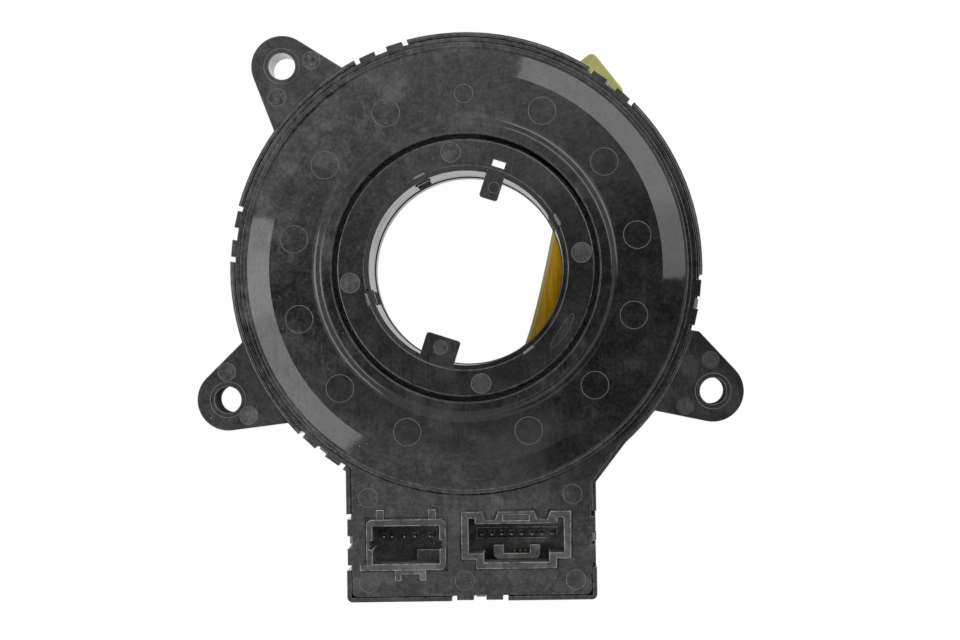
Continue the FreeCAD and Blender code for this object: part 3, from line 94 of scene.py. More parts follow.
class Wire:     # one output socket that can be used like a number
    def __init__(self, tree, socket):
        self.tree = tree
        self.socket = socket

    def node(self, kind, settings=None, inputs=None, output=0):
        made = self.tree.nodes.new(kind)
        for name, value in (settings or {}).items():
            setattr(made, name, value)
        for name, value in (inputs or {}).items():
            if isinstance(value, Wire):
                self.tree.links.new(value.socket, made.inputs[name])
            else:
                made.inputs[name].default_value = value
        return Wire(self.tree, made.outputs[output])

    def maths(self, operation, first, second=0.0, clamp=False):
        settings = {"operation": operation, "use_clamp": clamp}
        return self.node("ShaderNodeMath", settings, {0: first, 1: second})

    def __add__(self, other):
        return self.maths("ADD", self, other)

    def __radd__(self, other):
        return self.maths("ADD", other, self)

    def __sub__(self, other):
        return self.maths("SUBTRACT", self, other)

    def __rsub__(self, other):
        return self.maths("SUBTRACT", other, self)

    def __mul__(self, other):
        return self.maths("MULTIPLY", self, other)

    def __rmul__(self, other):
        return self.maths("MULTIPLY", other, self)

    def __truediv__(self, other):
        return self.maths("DIVIDE", self, other)

    def __rtruediv__(self, other):
        return self.maths("DIVIDE", other, self)

    def between(self, low, high):       # 0 below low, 1 above high, smooth in the middle
        return self.node("ShaderNodeMapRange", {"interpolation_type": "SMOOTHSTEP"},
                         {"Value": self, "From Min": low, "From Max": high})

    def blend(self, first, second):     # colours, by this wire as the share of the second
        inputs = {0: self, 6: first, 7: second}     # the node's colour sockets are 6 and 7, its result 2
        return self.node("ShaderNodeMix", {"data_type": "RGBA"}, inputs, 2)

    def noise(self, scale, detail=3.0, roughness=0.5):
        inputs = {"Vector": self, "Scale": scale, "Detail": detail, "Roughness": roughness}
        return self.node("ShaderNodeTexNoise", {}, inputs, "Fac")

    def cells(self, scale, feature="F1"):
        inputs = {"Vector": self, "Scale": scale}
        return self.node("ShaderNodeTexVoronoi", {"feature": feature}, inputs, "Distance")

    def parts(self):        # the three parts of a vector
        split = self.node("ShaderNodeSeparateXYZ", {}, {0: self})
        return [Wire(self.tree, output) for output in split.socket.node.outputs]

    def dot(self, direction):
        settings = {"operation": "DOT_PRODUCT"}
        return self.node("ShaderNodeVectorMath", settings, {0: self, 1: direction}, "Value")

    def stretched(self, scale, turnDegrees=0.0):
        turn = (0.0, 0.0, math.radians(turnDegrees))
        return self.node("ShaderNodeMapping", {}, {"Vector": self, "Rotation": turn, "Scale": scale})


def startMaterial(name):
    material = bpy.data.materials.new(name)
    material.use_nodes = True
    tree = material.node_tree
    shader = tree.nodes["Principled BSDF"]
    place = Wire(tree, None).node("ShaderNodeTexCoord", output="Object")
    spot = place.node("ShaderNodeVectorMath", {"operation": "SCALE"}, {0: place, "Scale": 1 / mm})
    return material, shader, spot      # spot is the place in millimetres


def feed(shader, name, wire):
    wire.tree.links.new(wire.socket, shader.inputs[name])


def feedBump(shader, height, strength, depthMm):
    inputs = {"Height": height, "Strength": strength, "Distance": depthMm * mm}
    feed(shader, "Normal", height.node("ShaderNodeBump", {}, inputs))


def shaded(colour, share):      # the colour taken down to this share of its light
    return (*(part * share for part in colour[:3]), 1.0)


# materials

blackFinish = {     # colour and dust are greys, edge is how much lighter the rounded edges are painted: a painted highlight
    "case": {"colour": 0.010, "dust": 0.024, "roughness": 0.16, "grain": 1.2, "mottle": 1.8,
             "wave": 0.02, "seed": 3.0, "edge": 0.10},
    "cover": {"colour": 0.007, "dust": 0.032, "roughness": 0.07, "grain": 0.8, "mottle": 2.4,
              "wave": 0.05, "seed": 11.0, "edge": 0.10},
    "ring": {"colour": 0.009, "dust": 0.020, "roughness": 0.11, "grain": 1.0, "mottle": 2.0,
             "wave": 0.02, "seed": 23.0, "edge": 0.08},
    "rotor": {"colour": 0.012, "dust": 0.012, "roughness": 0.24, "grain": 1.5, "mottle": 1.0,
              "wave": 0.02, "seed": 31.0, "edge": 0.08},
    "socket": {"colour": 0.040, "dust": 0.040, "roughness": 0.30, "grain": 2.0, "mottle": 2.6,
               "wave": 0.0, "seed": 43.0, "edge": 0.36, "paintedCavityLightMm": (0.2, 1.7)},
    "inner": {"colour": 0.022, "dust": 0.008, "roughness": 0.48, "grain": 2.2, "mottle": 0.8,
              "wave": 0.0, "seed": 57.0},
    # a light grey that paints highlights on thin rims: the marks' circles, the ring's long mark, the ear
    # holes' edges
    "line": {"colour": 0.130, "dust": 0.040, "roughness": 0.40, "grain": 2.2, "mottle": 2.0,
             "wave": 0.0, "seed": 65.0},
    # a light grey that paints the snap bars' highlight
    "bare": {"colour": 0.200, "dust": 0.040, "roughness": 0.50, "grain": 2.2, "mottle": 3.0,
             "wave": 0.0, "seed": 77.0},
    "shade": {"colour": 0.075, "dust": 0.010, "roughness": 0.80, "grain": 2.2, "mottle": 1.6,
              "wave": 0.0, "seed": 83.0, "gloss": 0.03},
    "mark": {"colour": 0.036, "dust": 0.040, "roughness": 0.30, "grain": 4.0, "mottle": 5.0,
             "wave": 0.0, "seed": 71.0},
}
blackWear = {       # a noise is its waves to a millimetre, its detail and its roughness
    "upperDustMm": (-22.0, 62.0),       # dust thickens over this way to the upper left
    "blockDustMm": (36.0, 50.0),        # and over this way down to the socket block
    "dustColour": (1.0, 0.992, 0.975, 1.0),
    "cloud": (0.055, 4, 0.6),
    "patch": (0.17, 5, 0.65),
    "bloom": (0.11, 5, 0.7),
    "smear": (1.0, 4, 0.6),
    "smearStretch": (0.30, 0.05, 0.2),
    "smearDegrees": 35,
    "fineMottle": (1.3, 3, 0.6),
    "coarseMottle": (0.40, 3, 0.6),
    "speckSpread": (0.5, 2),
    "speckCells": 0.80,
    "lintCells": 2.1,
    "lintSize": 0.17,
    "scratchStretch": (0.9, 0.035, 0.3),
    "scratchDegrees": 62,
    "scratchWidth": 0.012,
    "wornEdge": (0.8, 4, 0.7),
    "grain": (6.5, 3, 0.6),
    "longWave": (0.10, 2, 0.4),
    "shortWave": (0.30, 2, 0.4),
}


def blackPlastic(name, finish, worn=0.0):
    wear = blackWear
    material, shader, spot = startMaterial(name)
    shift = finish["seed"]
    moved = {0: spot, 1: (shift, -shift, shift * 2)}
    place = spot.node("ShaderNodeVectorMath", {"operation": "ADD"}, moved)
    across, ahead, upward = spot.parts()
    upperDust = (ahead * 0.75 - across * 0.66).between(*wear["upperDustMm"])
    blockDust = (0.0 - ahead - across * 0.3).between(*wear["blockDustMm"])
    dusty = upperDust + blockDust * 0.9
    cloud = place.noise(*wear["cloud"])
    patch = place.noise(*wear["patch"])
    smear = place.stretched(wear["smearStretch"], wear["smearDegrees"]).noise(*wear["smear"])
    dustFilm = cloud.between(0.44, 0.66) * 0.6 + smear.between(0.50, 0.75) * 0.4
    dustFilm = dustFilm * patch.between(0.36, 0.62)
    mottle = (place.noise(*wear["fineMottle"]) - 0.5) * 0.055
    mottle = mottle + (place.noise(*wear["coarseMottle"]) - 0.5) * 0.045
    speckSize = place.noise(*wear["speckSpread"]).between(0.42, 0.72) * 0.20
    speck = (1.0 - place.cells(wear["speckCells"]) / (speckSize + 0.02)).between(0.0, 0.5)
    lint = (1.0 - place.cells(wear["lintCells"]) / wear["lintSize"]).between(0.0, 0.6)
    lint = lint * patch.between(0.48, 0.66)
    rubbed = place.stretched(wear["scratchStretch"], wear["scratchDegrees"])
    scratch = 1.0 - rubbed.cells(1.0, "DISTANCE_TO_EDGE") / wear["scratchWidth"]
    scratch = scratch.between(0.0, 1.0) * cloud.between(0.48, 0.60)
    specks = speck * 0.5 + lint * 0.6
    layer = (0.35 + dusty * 0.65) * finish["mottle"]
    bloom = place.noise(*wear["bloom"]).between(0.50, 0.64) * dusty
    powder = (dusty * 0.35 + dustFilm * 1.2 + bloom * 1.3) * finish["dust"]
    grey = finish["colour"] + powder + mottle * layer
    grey = grey + specks * (0.04 + dusty * 0.17) + scratch * (0.03 + dusty * 0.05)
    # the edge materials: lighter in patches, a painted highlight on the rounded edges, and rougher
    if worn > 0:
        grey = grey + place.noise(*wear["wornEdge"]).between(0.30, 0.62) * worn
    sheen = finish["roughness"] + dustFilm * 0.14 + (patch - 0.5) * 0.05 + specks * 0.3 + worn * 1.2
    if "paintedCavityLightMm" in finish:        # painted light: lighter down in the cavities, and matt there too
        deep = 1.0 - upward.between(*finish["paintedCavityLightMm"])
        grey = grey * (1.0 + deep * 0.8)
        sheen = sheen + deep * 0.5
    feed(shader, "Base Color", grey.blend((0.0, 0.0, 0.0, 1.0), wear["dustColour"]))
    feed(shader, "Roughness", sheen)
    grain = place.noise(*wear["grain"]) * (0.0011 * finish["grain"]) + specks * 0.004 - scratch * 0.006
    wave = place.noise(*wear["longWave"]) * finish["wave"]
    wave = wave + place.noise(*wear["shortWave"]) * finish["wave"] * 0.12
    feedBump(shader, grain + wave, strength=1.0, depthMm=1.0)
    shader.inputs["IOR"].default_value = 1.45
    shader.inputs["Specular IOR Level"].default_value = finish.get("gloss", 0.5)
    return material


def pinMetal(name, colour, roughness):
    material, shader, spot = startMaterial(name)
    drawn = spot.stretched((3.0, 3.0, 0.35)).noise(2.0, 4, 0.6)
    tarnish = spot.noise(0.9, 3).between(0.45, 0.7)
    feed(shader, "Base Color", (tarnish * 0.7).blend(colour, shaded(colour, 0.6)))
    feed(shader, "Roughness", roughness + drawn * 0.16 + tarnish * 0.1)
    feedBump(shader, drawn, strength=0.25, depthMm=0.01)
    shader.inputs["Metallic"].default_value = 1.0
    return material


sleeveLook = {
    "deep": (0.700, 0.360, 0.002, 1.0),
    "warm": (0.920, 0.540, 0.002, 1.0),
    # the pale colour of the painted highlight
    "pale": (0.880, 0.760, 0.330, 1.0),
    "highlightFacing": (-0.96, 0.28, 0.0),
}


def amberSleeve(name, turnDegrees):     # drawn sleeve with fine streaks and a painted highlight, pale, on the side that faces the left
    look = sleeveLook
    material, shader, spot = startMaterial(name)
    streak = spot.stretched((1.6, 0.05, 1.6), turnDegrees).noise(1.0, 5, 0.65)
    fine = spot.stretched((7.0, 0.12, 7.0), turnDegrees).noise(1.0, 3, 0.6)
    # painted highlight: the pale colour where the surface faces the left
    facing = spot.node("ShaderNodeTexCoord", output="Normal")
    leftHighlight = facing.dot(look["highlightFacing"]).between(0.62, 0.80)
    colour = (streak * 0.7 + fine * 0.3).between(0.38, 0.60).blend(look["deep"], look["warm"])
    feed(shader, "Base Color", (leftHighlight * (0.6 + fine * 0.5)).blend(colour, look["pale"]))
    feed(shader, "Roughness", 0.46 + fine * 0.20)
    feedBump(shader, streak * 0.6 + fine * 0.4, strength=0.4, depthMm=0.05)
    shader.inputs["Specular IOR Level"].default_value = 0.16
    return material


def paleMoulding(name, colour, shade, roughness):      # light coloured plastic with dust in its grain
    material, shader, spot = startMaterial(name)
    cloud = spot.noise(0.35, 4, 0.6)
    grain = spot.noise(5.0, 3, 0.6)
    speck = (1.0 - spot.cells(0.9) / 0.13).between(0.0, 0.6)
    soiled = cloud.between(0.42, 0.72) * 0.7 + speck * 0.3
    feed(shader, "Base Color", soiled.blend(colour, shaded(colour, shade)))
    feed(shader, "Roughness", roughness + (cloud - 0.5) * 0.12)
    feedBump(shader, grain + cloud, strength=0.3, depthMm=0.03)
    return material


def film(name, colour, roughness):      # polyester film with faint waves
    material, shader, spot = startMaterial(name)
    wave = spot.noise(0.12, 2, 0.4)
    fine = spot.noise(2.4, 3, 0.6)
    feed(shader, "Base Color", wave.between(0.4, 0.65).blend(colour, shaded(colour, 0.82)))
    feed(shader, "Roughness", roughness + fine * 0.12)
    feedBump(shader, wave + fine * 0.2, strength=0.4, depthMm=0.05)
    return material


materials = {
    "case_plastic": blackPlastic("casePlastic", blackFinish["case"]),
    "cover_plastic": blackPlastic("coverPlastic", blackFinish["cover"]),
    "ring_plastic": blackPlastic("ringPlastic", blackFinish["ring"]),
    "rotor_plastic": blackPlastic("rotorPlastic", blackFinish["rotor"]),
    "socket_plastic": blackPlastic("socketPlastic", blackFinish["socket"]),
    "inner_plastic": blackPlastic("innerPlastic", blackFinish["inner"]),
    "bar_highlight_plastic": blackPlastic("barHighlightPlastic", blackFinish["bare"]),
    "shade_plastic": blackPlastic("shadePlastic", blackFinish["shade"]),
    "mark_frost": blackPlastic("markFrost", blackFinish["mark"]),
    "mark_line": blackPlastic("paintedHighlightLine", blackFinish["line"]),
    "pin_metal": pinMetal("pinMetal", (0.30, 0.30, 0.28, 1.0), roughness=0.30),
    "contact_brass": pinMetal("contactBrass", (0.30, 0.25, 0.13, 1.0), roughness=0.34),
    "cable_film": film("cableFilm", (0.060, 0.055, 0.050, 1.0), roughness=0.30),
    "sheet_film": film("sheetFilm", (0.82, 0.82, 0.80, 1.0), roughness=0.4),
    "lead_sleeve": amberSleeve("leadSleeve", turnDegrees=10.0),
    "plug_plastic": paleMoulding("plugPlastic", (0.66, 0.66, 0.20, 1.0), shade=0.80, roughness=0.50),
    "lock_plastic": paleMoulding("lockPlastic", (0.55, 0.55, 0.53, 1.0), shade=0.75, roughness=0.45),
}
# edge materials: lighter copies of each finish that paint a highlight on the rounded edges
for kind, finish in blackFinish.items():
    if "edge" in finish:
        materials[kind + "_edge"] = blackPlastic(kind + "Edge", finish, finish["edge"])
slotOf = {entry["node"]: entry["material_slot"] for entry in frame["record"]["subparts"]}
for name, node in nodes.items():
    node.data.materials.clear()
    node.data.materials.append(materials[slotOf[name]])
print("stage: materials")


# airbag lead

leadSizes = {
    "diameter": 0.0052,
    "length": 0.0839,
    "route": [      # from inside the gland to the plug's nozzle
        (-0.0156, -0.0335, -0.0286),
        (0.0019, -0.0335, -0.0286),
        (0.0132, -0.0248, -0.0299),
        (0.0210, 0.0042, -0.0299),
        (0.0250, 0.02685, -0.0299),
    ],
}


def makeLead(sizes):
    data = bpy.data.curves.new("airbagLead", "CURVE")
    data.dimensions = "3D"
    spline = data.splines.new("NURBS")
    spline.points.add(len(sizes["route"]) - 1)
    for point, place in zip(spline.points, sizes["route"]):
        point.co = (*place, 1.0)
    spline.order_u = 3
    spline.use_endpoint_u = True
    spline.resolution_u = 24
    data.bevel_depth = sizes["diameter"] / 2
    data.bevel_resolution = 8
    data.use_fill_caps = True
    data.materials.append(materials["lead_sleeve"])
    lead = bpy.data.objects.new("airbagLead", data)
    bpy.context.scene.collection.objects.link(lead)
    return lead


lead = makeLead(leadSizes)
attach(lead, "rotor")
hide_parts("airbag_lead")
print("stage: lead")


# moulded pieces: the frame's forms with rounded edges

edgeRounds = {      # the worn edges' radius in millimetres
    "stator_case": 0.14,
    "stator_cover": 0.14,
    "rotor_ring": 0.14,
    "rotor_hub": 0.16,
    "left_socket": 0.16,
    "right_socket": 0.16,
    "shorting_clip": 0.12,
    "wheel_socket": 0.15,
    "lead_cover": 0.3,
    "airbag_plug": 0.35,
    "plug_lock": 0.2,
}
softRings = {       # circles, by radius in millimetres, whose edge has a wide soft round, and its radius
    "stator_cover": {31.7: 0.45, 32.9: 0.75},
}
fineRings = {"stator_cover": (48.3, 49.6)}      # between these radii in millimetres edges are rounded less
ringMatchMm = 0.06      # how near to a soft circle an edge counts as on it
weldMm = 0.001
flatAngle = math.radians(0.4)       # triangles that meet flatter than this become one face
sharpAngle = math.radians(14)
roundAngle = math.radians(24)
softSegments = 5
wornSegments = 2


def cleanCopy(nodeName, pieceName):
    mesh = nodes[nodeName].data.copy()
    work = bmesh.new()
    work.from_mesh(mesh)
    bmesh.ops.remove_doubles(work, verts=work.verts, dist=weldMm * mm)
    bmesh.ops.join_triangles(work, faces=work.faces, angle_face_threshold=flatAngle,
                             angle_shape_threshold=math.pi)
    soft = work.edges.layers.float.new("softRound")
    worn = work.edges.layers.float.new("wornRound")
    rings = softRings.get(nodeName, {})
    inner, outer = fineRings.get(nodeName, (0, 0))
    for face in work.faces:
        face.smooth = True
    for edge in work.edges:
        angle = edge.calc_face_angle_signed(0) if edge.is_manifold else 0
        edge.smooth = edge.is_manifold and abs(angle) < sharpAngle
        radii = [math.hypot(corner.co.x, corner.co.y) / mm for corner in edge.verts]
        for ring, width in rings.items():
            if abs(angle) > sharpAngle and all(abs(radius - ring) < ringMatchMm for radius in radii):
                edge[soft] = width / max(rings.values())
        if angle > roundAngle and not edge[soft]:
            edge[worn] = 0.5 if all(inner < radius < outer for radius in radii) else 1.0
    work.to_mesh(mesh)
    work.free()
    mesh.name = pieceName
    # the rounded edges take a second material, their painted highlight
    edgeHighlightMaterial = slotOf[nodeName].replace("_plastic", "_edge")
    if nodeName == "shorting_clip":     # its edges get the sockets' painted highlight
        edgeHighlightMaterial = "socket_edge"
    mesh.materials.append(materials.get(edgeHighlightMaterial, mesh.materials[0]))
    piece = bpy.data.objects.new(pieceName, mesh)
    bpy.context.scene.collection.objects.link(piece)
    return piece


def addBevel(piece, name, attribute, radiusMm, segments):       # without an attribute: every sharp edge
    bevel = piece.modifiers.new(name, "BEVEL")
    bevel.width = radiusMm * mm
    bevel.segments = segments
    bevel.limit_method = "WEIGHT" if attribute else "ANGLE"
    bevel.edge_weight = attribute or ""
    bevel.use_clamp_overlap = False
    bevel.miter_outer = "MITER_ARC"
    return bevel


def roundEdges(piece, nodeName, radiusMm):
    if nodeName in softRings:
        addBevel(piece, "softRound", "softRound", max(softRings[nodeName].values()), softSegments)
    # the rounded faces take material 1, the painted highlight
    addBevel(piece, "wornRound", "wornRound", radiusMm, wornSegments).material = 1
    shading = piece.modifiers.new("flatShading", "WEIGHTED_NORMAL")
    shading.keep_sharp = True
    shading.weight = 100


def camel(words):
    first, *rest = words.split("_")
    return first + "".join(word.capitalize() for word in rest)


bodies = frame["record"]["behaviour"]["bodies"]
bodyOf = {node: body for body, members in bodies.items() for node in members}


def dressNode(nodeName, radiusMm):
    piece = cleanCopy(nodeName, camel(nodeName))
    roundEdges(piece, nodeName, radiusMm)
    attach(piece, bodyOf[nodeName])
    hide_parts(nodeName)


for nodeName, radiusMm in edgeRounds.items():
    dressNode(nodeName, radiusMm)
print("stage: moulded pieces")


# ejector marks: thin circles that the mould's pins left, some with frosted discs, drawn as light grey lines
# that are a painted highlight; the same lines paint the highlight round the ear holes' edges

markSizes = {
    "lineRadiusMm": 0.085,
    "discLiftMm": 0.012,
    "circleSteps": 56,
    "lineSides": 6,
    "discSteps": 40,
    "coverLevelMm": 2.0,
    "coverPitchMm": 38.0,
    "coverStepDegrees": 26.6,
    "coverCount": 12,
    "coverMarkMm": 3.0,
    "topMarkMm": 2.0,
    "ringLevelMm": 2.6,
    "ringPitchMm": 25.4,
    "ringFirstDegrees": 6.8,
    "ringCount": 4,
    "ringMarkMm": 2.15,
    "tongueLevelMm": 2.2,
    "tongueDisc": (18.2, 251.7, 1.5),       # where from the axis in millimetres, degrees, size in millimetres
    "tongueCircle": (18.5, 70.0, 1.2),      # a circle with no disc in it
    "faceLevelMm": 0.1,
    "faceMarkMm": 2.1,
    "facePlacesMm": [(-22.1, -50.0), (-22.1, -68.5), (-1.2, -68.3), (22.6, -49.65), (23.1, -68.4)],
    "earLevelMm": -0.3,
    "earMarkMm": 1.95,
    "earPlacesMm": [(-33.3, 45.9), (-41.0, 37.9), (-52.7, -22.0), (-48.0, -31.6)],
    "bareDiscsMm": [(53.2, -20.7), (47.5, -30.8)],      # on the right ear the discs have no circle
    "earHolesMm": [(-39.75, 44.61), (-52.44, -28.12), (53.63, -27.56)],
    # circles of painted highlight on each ear hole's edges
    "earHoleHighlightCirclesMm": [2.98, 3.93],
}


def startTree(name, inputs):        # an empty geometry tree with named inputs, and a wire for each
    tree = bpy.data.node_groups.new(name, "GeometryNodeTree")
    tree.interface.new_socket("Geometry", in_out="INPUT", socket_type="NodeSocketGeometry")
    for label, kind in inputs.items():
        tree.interface.new_socket(label, in_out="INPUT", socket_type="NodeSocket" + kind)
    tree.interface.new_socket("Geometry", in_out="OUTPUT", socket_type="NodeSocketGeometry")
    source = tree.nodes.new("NodeGroupInput")
    wires = {label: Wire(tree, source.outputs[label]) for label in ["Geometry", *inputs]}
    return tree, wires


def endTree(shape, material):       # the shape as real mesh with its material, at the tree's output
    real = shape.node("GeometryNodeRealizeInstances", {}, {"Geometry": shape})
    coloured = real.node("GeometryNodeSetMaterial", {}, {"Geometry": real, "Material": material})
    sink = shape.tree.nodes.new("NodeGroupOutput")
    shape.tree.links.new(coloured.socket, sink.inputs["Geometry"])


def growPiece(name, tree, values, body, points=(), closed=False):     # points: x, y, z and a size
    carrier = bpy.data.meshes.new(name + "Points")
    count = len(points)
    loop = [(step, (step + 1) % count) for step in range(count)] if closed else []
    carrier.from_pydata([Vector(point[:3]) for point in points], loop, [])
    size = carrier.attributes.new("size", "FLOAT", "POINT")
    for item, point in zip(size.data, points):
        item.value = point[3]
    piece = bpy.data.objects.new(name, carrier)
    bpy.context.scene.collection.objects.link(piece)
    modifier = piece.modifiers.new("grow", "NODES")
    modifier.node_group = tree
    for item in tree.interface.items_tree:
        if item.in_out == "INPUT" and item.name in values:
            modifier[item.identifier] = values[item.name]
    evaluated = piece.evaluated_get(bpy.context.evaluated_depsgraph_get())
    mesh = bpy.data.meshes.new_from_object(evaluated)
    piece.modifiers.clear()
    piece.data = mesh
    mesh.name = name
    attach(piece, body)
    return piece


def copiesOn(points, shape, **placing):     # one copy of the shape on each point
    inputs = {"Points": points, "Instance": shape, **placing}
    return points.node("GeometryNodeInstanceOnPoints", {}, inputs)


def sizedCopies(points, shape):     # copies scaled by each point's size
    size = points.node("GeometryNodeInputNamedAttribute", {"data_type": "FLOAT"}, {"Name": "size"})
    copies = copiesOn(points, shape, Scale=size)
    return copies.node("GeometryNodeRealizeInstances", {}, {"Geometry": copies})


def circle(wire, steps, radius):
    inputs = {"Resolution": steps, "Radius": radius}
    return wire.node("GeometryNodeCurvePrimitiveCircle", {}, inputs)


def swept(path, section, capped=False):     # the section carried along the path
    inputs = {"Curve": path, "Profile Curve": section, "Fill Caps": capped}
    return path.node("GeometryNodeCurveToMesh", {}, inputs)


def markLineTree(sizes):
    tree, given = startTree("ejectorMarkLine", {"lineRadius": "Float"})
    points = given["Geometry"]
    lines = sizedCopies(points, circle(points, sizes["circleSteps"], 1.0))
    section = circle(points, sizes["lineSides"], given["lineRadius"])
    endTree(swept(lines, section), materials["mark_line"])
    return tree


def markDiscTree(sizes):
    tree, given = startTree("ejectorMarkDisc", {"lift": "Float"})
    points = given["Geometry"]
    inputs = {"Vertices": sizes["discSteps"], "Radius": 1.0}
    disc = points.node("GeometryNodeMeshCircle", {"fill_type": "TRIANGLE_FAN"}, inputs)
    discs = sizedCopies(points, disc)
    up = points.node("ShaderNodeCombineXYZ", {}, {"Z": given["lift"]})
    lifted = discs.node("GeometryNodeTransform", {}, {"Geometry": discs, "Translation": up})
    endTree(lifted, materials["mark_frost"])
    return tree


def flatPoints(placesMm, levelMm, sizeMm=1):
    return [(x * mm, y * mm, levelMm * mm, sizeMm * mm) for x, y in placesMm]


def polarPoint(radiusMm, degrees, levelMm, sizeMm=1):
    angle = math.radians(degrees)
    return (radiusMm * math.cos(angle) * mm, radiusMm * math.sin(angle) * mm, levelMm * mm, sizeMm * mm)


def coverPoints(sizes):     # evenly to both sides of the small mark at the top
    def place(step, sizeMm):
        degrees = 90 + step * sizes["coverStepDegrees"]
        return polarPoint(sizes["coverPitchMm"], degrees, sizes["coverLevelMm"], sizeMm)

    steps = range(1, sizes["coverCount"] // 2 + 1)
    marks = [place(side * step, sizes["coverMarkMm"]) for side in (-1, 1) for step in steps]
    return [*marks, place(0, sizes["topMarkMm"])]


def ringPoints(sizes):
    stepDegrees = 360 / sizes["ringCount"]
    return [polarPoint(sizes["ringPitchMm"], sizes["ringFirstDegrees"] + stepDegrees * place,
                       sizes["ringLevelMm"], sizes["ringMarkMm"]) for place in range(sizes["ringCount"])]


def tonguePoint(sizes, mark):
    radius, degrees, size = sizes[mark]
    return polarPoint(radius, degrees, sizes["tongueLevelMm"], size)


def makeMarks(sizes):
    cover = coverPoints(sizes)
    face = flatPoints(sizes["facePlacesMm"], sizes["faceLevelMm"], sizes["faceMarkMm"])
    ears = flatPoints(sizes["earPlacesMm"], sizes["earLevelMm"], sizes["earMarkMm"])
    bareDiscs = flatPoints(sizes["bareDiscsMm"], sizes["earLevelMm"], sizes["earMarkMm"])
    # the ear holes' circles are painted highlight on their edges
    holes = [point for place in sizes["earHolesMm"] for size in sizes["earHoleHighlightCirclesMm"]
             for point in flatPoints([place], 0.0, size)]
    ring = [*ringPoints(sizes), tonguePoint(sizes, "tongueDisc")]
    lineTree = markLineTree(sizes)
    discTree = markDiscTree(sizes)
    line = {"lineRadius": sizes["lineRadiusMm"] * mm}
    lift = {"lift": sizes["discLiftMm"] * mm}
    growPiece("coverMarks", lineTree, line, "stator", cover + face)
    growPiece("earMarks", lineTree, line, "stator", ears + holes)
    growPiece("earDiscs", discTree, lift, "stator", ears + bareDiscs)
    growPiece("ringMarks", lineTree, line, "rotor",
              [*ring, tonguePoint(sizes, "tongueCircle")])
    growPiece("ringDiscs", discTree, lift, "rotor", ring)


makeMarks(markSizes)
print("stage: ejector marks")


# snap hooks of the ring: a bar in each slit and an arm down the bore

hookSizes = {       # in millimetres
    "degrees": [27.1, 116.3, 196.9, 306.5],
    "boreRadius": 21.2,
    "barRadius": 22.45,
    "barLevel": 2.3,
    "bar": (0.5, 2.8, 0.3),     # outward, along the ring, up
    "arm": (0.4, 3.1, 17.2),
    "armTop": 1.3,
    "armProud": 0.09,
    "edgeRound": 0.1,
}


def hookTree():
    tree, given = startTree("snapHook", {"size": "Vector", "finish": "Material"})
    points = given["Geometry"]
    inputs = {"Size": given["size"], "Vertices Y": 5, "Vertices Z": 7}
    block = points.node("GeometryNodeMeshCube", {}, inputs)
    x, y = points.node("GeometryNodeInputPosition").parts()[:2]
    heading = x.maths("ARCTAN2", y, x)
    turn = heading.node("ShaderNodeCombineXYZ", {}, {"Z": heading})
    endTree(copiesOn(points, block, Rotation=turn), given["finish"])
    return tree


def makeHooks(sizes):
    tree = hookTree()
    armRadius = sizes["boreRadius"] - sizes["armProud"] + sizes["arm"][0] / 2
    armLevel = sizes["armTop"] - sizes["arm"][2] / 2
    # the bars' light grey is a painted highlight
    bars = ("snapBars", sizes["bar"], sizes["barRadius"], sizes["barLevel"], "bar_highlight_plastic")
    arms = ("snapArms", sizes["arm"], armRadius, armLevel, "shade_plastic")
    for name, block, radius, level, finish in (bars, arms):
        points = [polarPoint(radius, degrees, level) for degrees in sizes["degrees"]]
        values = {"size": tuple(side * mm for side in block), "finish": materials[finish]}
        piece = growPiece(name, tree, values, "rotor", points)
        addBevel(piece, "hookRound", None, sizes["edgeRound"], wornSegments)


makeHooks(hookSizes)
print("stage: snap hooks")


# lines and seams: the ring's long mark, the line round the bore's foot, a dark tube of painted shade down two
# ear holes, the collar's inner bead, and a bead that fills the gap round each socket of the block

seamSizes = {       # in millimetres and degrees
    "lens": {"radius": 25.3, "degrees": 326.0, "halfSpan": 10.2, "halfWidth": 0.85, "level": 2.6,
             "steps": 24, "bead": 0.04},
    "bore": {"radius": 21.1, "level": -18.1, "bead": 0.12},
    # a dark tube down each of two ear holes, painted shade
    "liner": {"places": [(-52.44, -28.12), (53.63, -27.56)], "level": -5.8, "radius": 2.93,
              "depth": 10.4, "thickness": 0.04},
    "collar": {"radius": 29.38, "level": 2.6, "bead": 0.3},
    "socket": {"level": -0.15, "bead": 0.4},
    "left": {"x": -13.85, "y": -60.2, "halfWidth": 8.65, "halfHeight": 5.55},
    "right": {"x": 10.2, "top": -53.25, "half": 11.95, "bump": 3.9, "dip": 6.8, "foot": 8.8,
              "slope": 0.7, "dipDepth": 1.8, "shelfDepth": 10.3, "height": 12.4},
    "circleStepDegrees": 3,
    "beadSides": 8,
    "holeShadeSteps": 48,
}


def seamTree(sizes):        # a round bead along the carrier's closed edge loop
    tree, given = startTree("seamBead", {"beadRadius": "Float", "finish": "Material"})
    path = given["Geometry"].node("GeometryNodeMeshToCurve", {}, {"Mesh": given["Geometry"]})
    section = circle(path, sizes["beadSides"], given["beadRadius"])
    endTree(swept(path, section), given["finish"])
    return tree


def holeShadeTree(sizes):       # a thin dark tube down a hole, painted shade on its wall
    tree, given = startTree("holeShadeTube", {"radius": "Float", "depth": "Float", "thickness": "Float"})
    points = given["Geometry"]
    inputs = {"Width": given["thickness"], "Height": given["depth"]}
    wall = points.node("GeometryNodeCurvePrimitiveQuadrilateral", {}, inputs)
    tube = swept(circle(points, sizes["holeShadeSteps"], given["radius"]), wall)
    endTree(copiesOn(points, tube), materials["shade_plastic"])
    return tree


def circleOutline(part, stepDegrees):
    return [polarPoint(part["radius"], degrees, part["level"]) for degrees in range(0, 360, stepDegrees)]


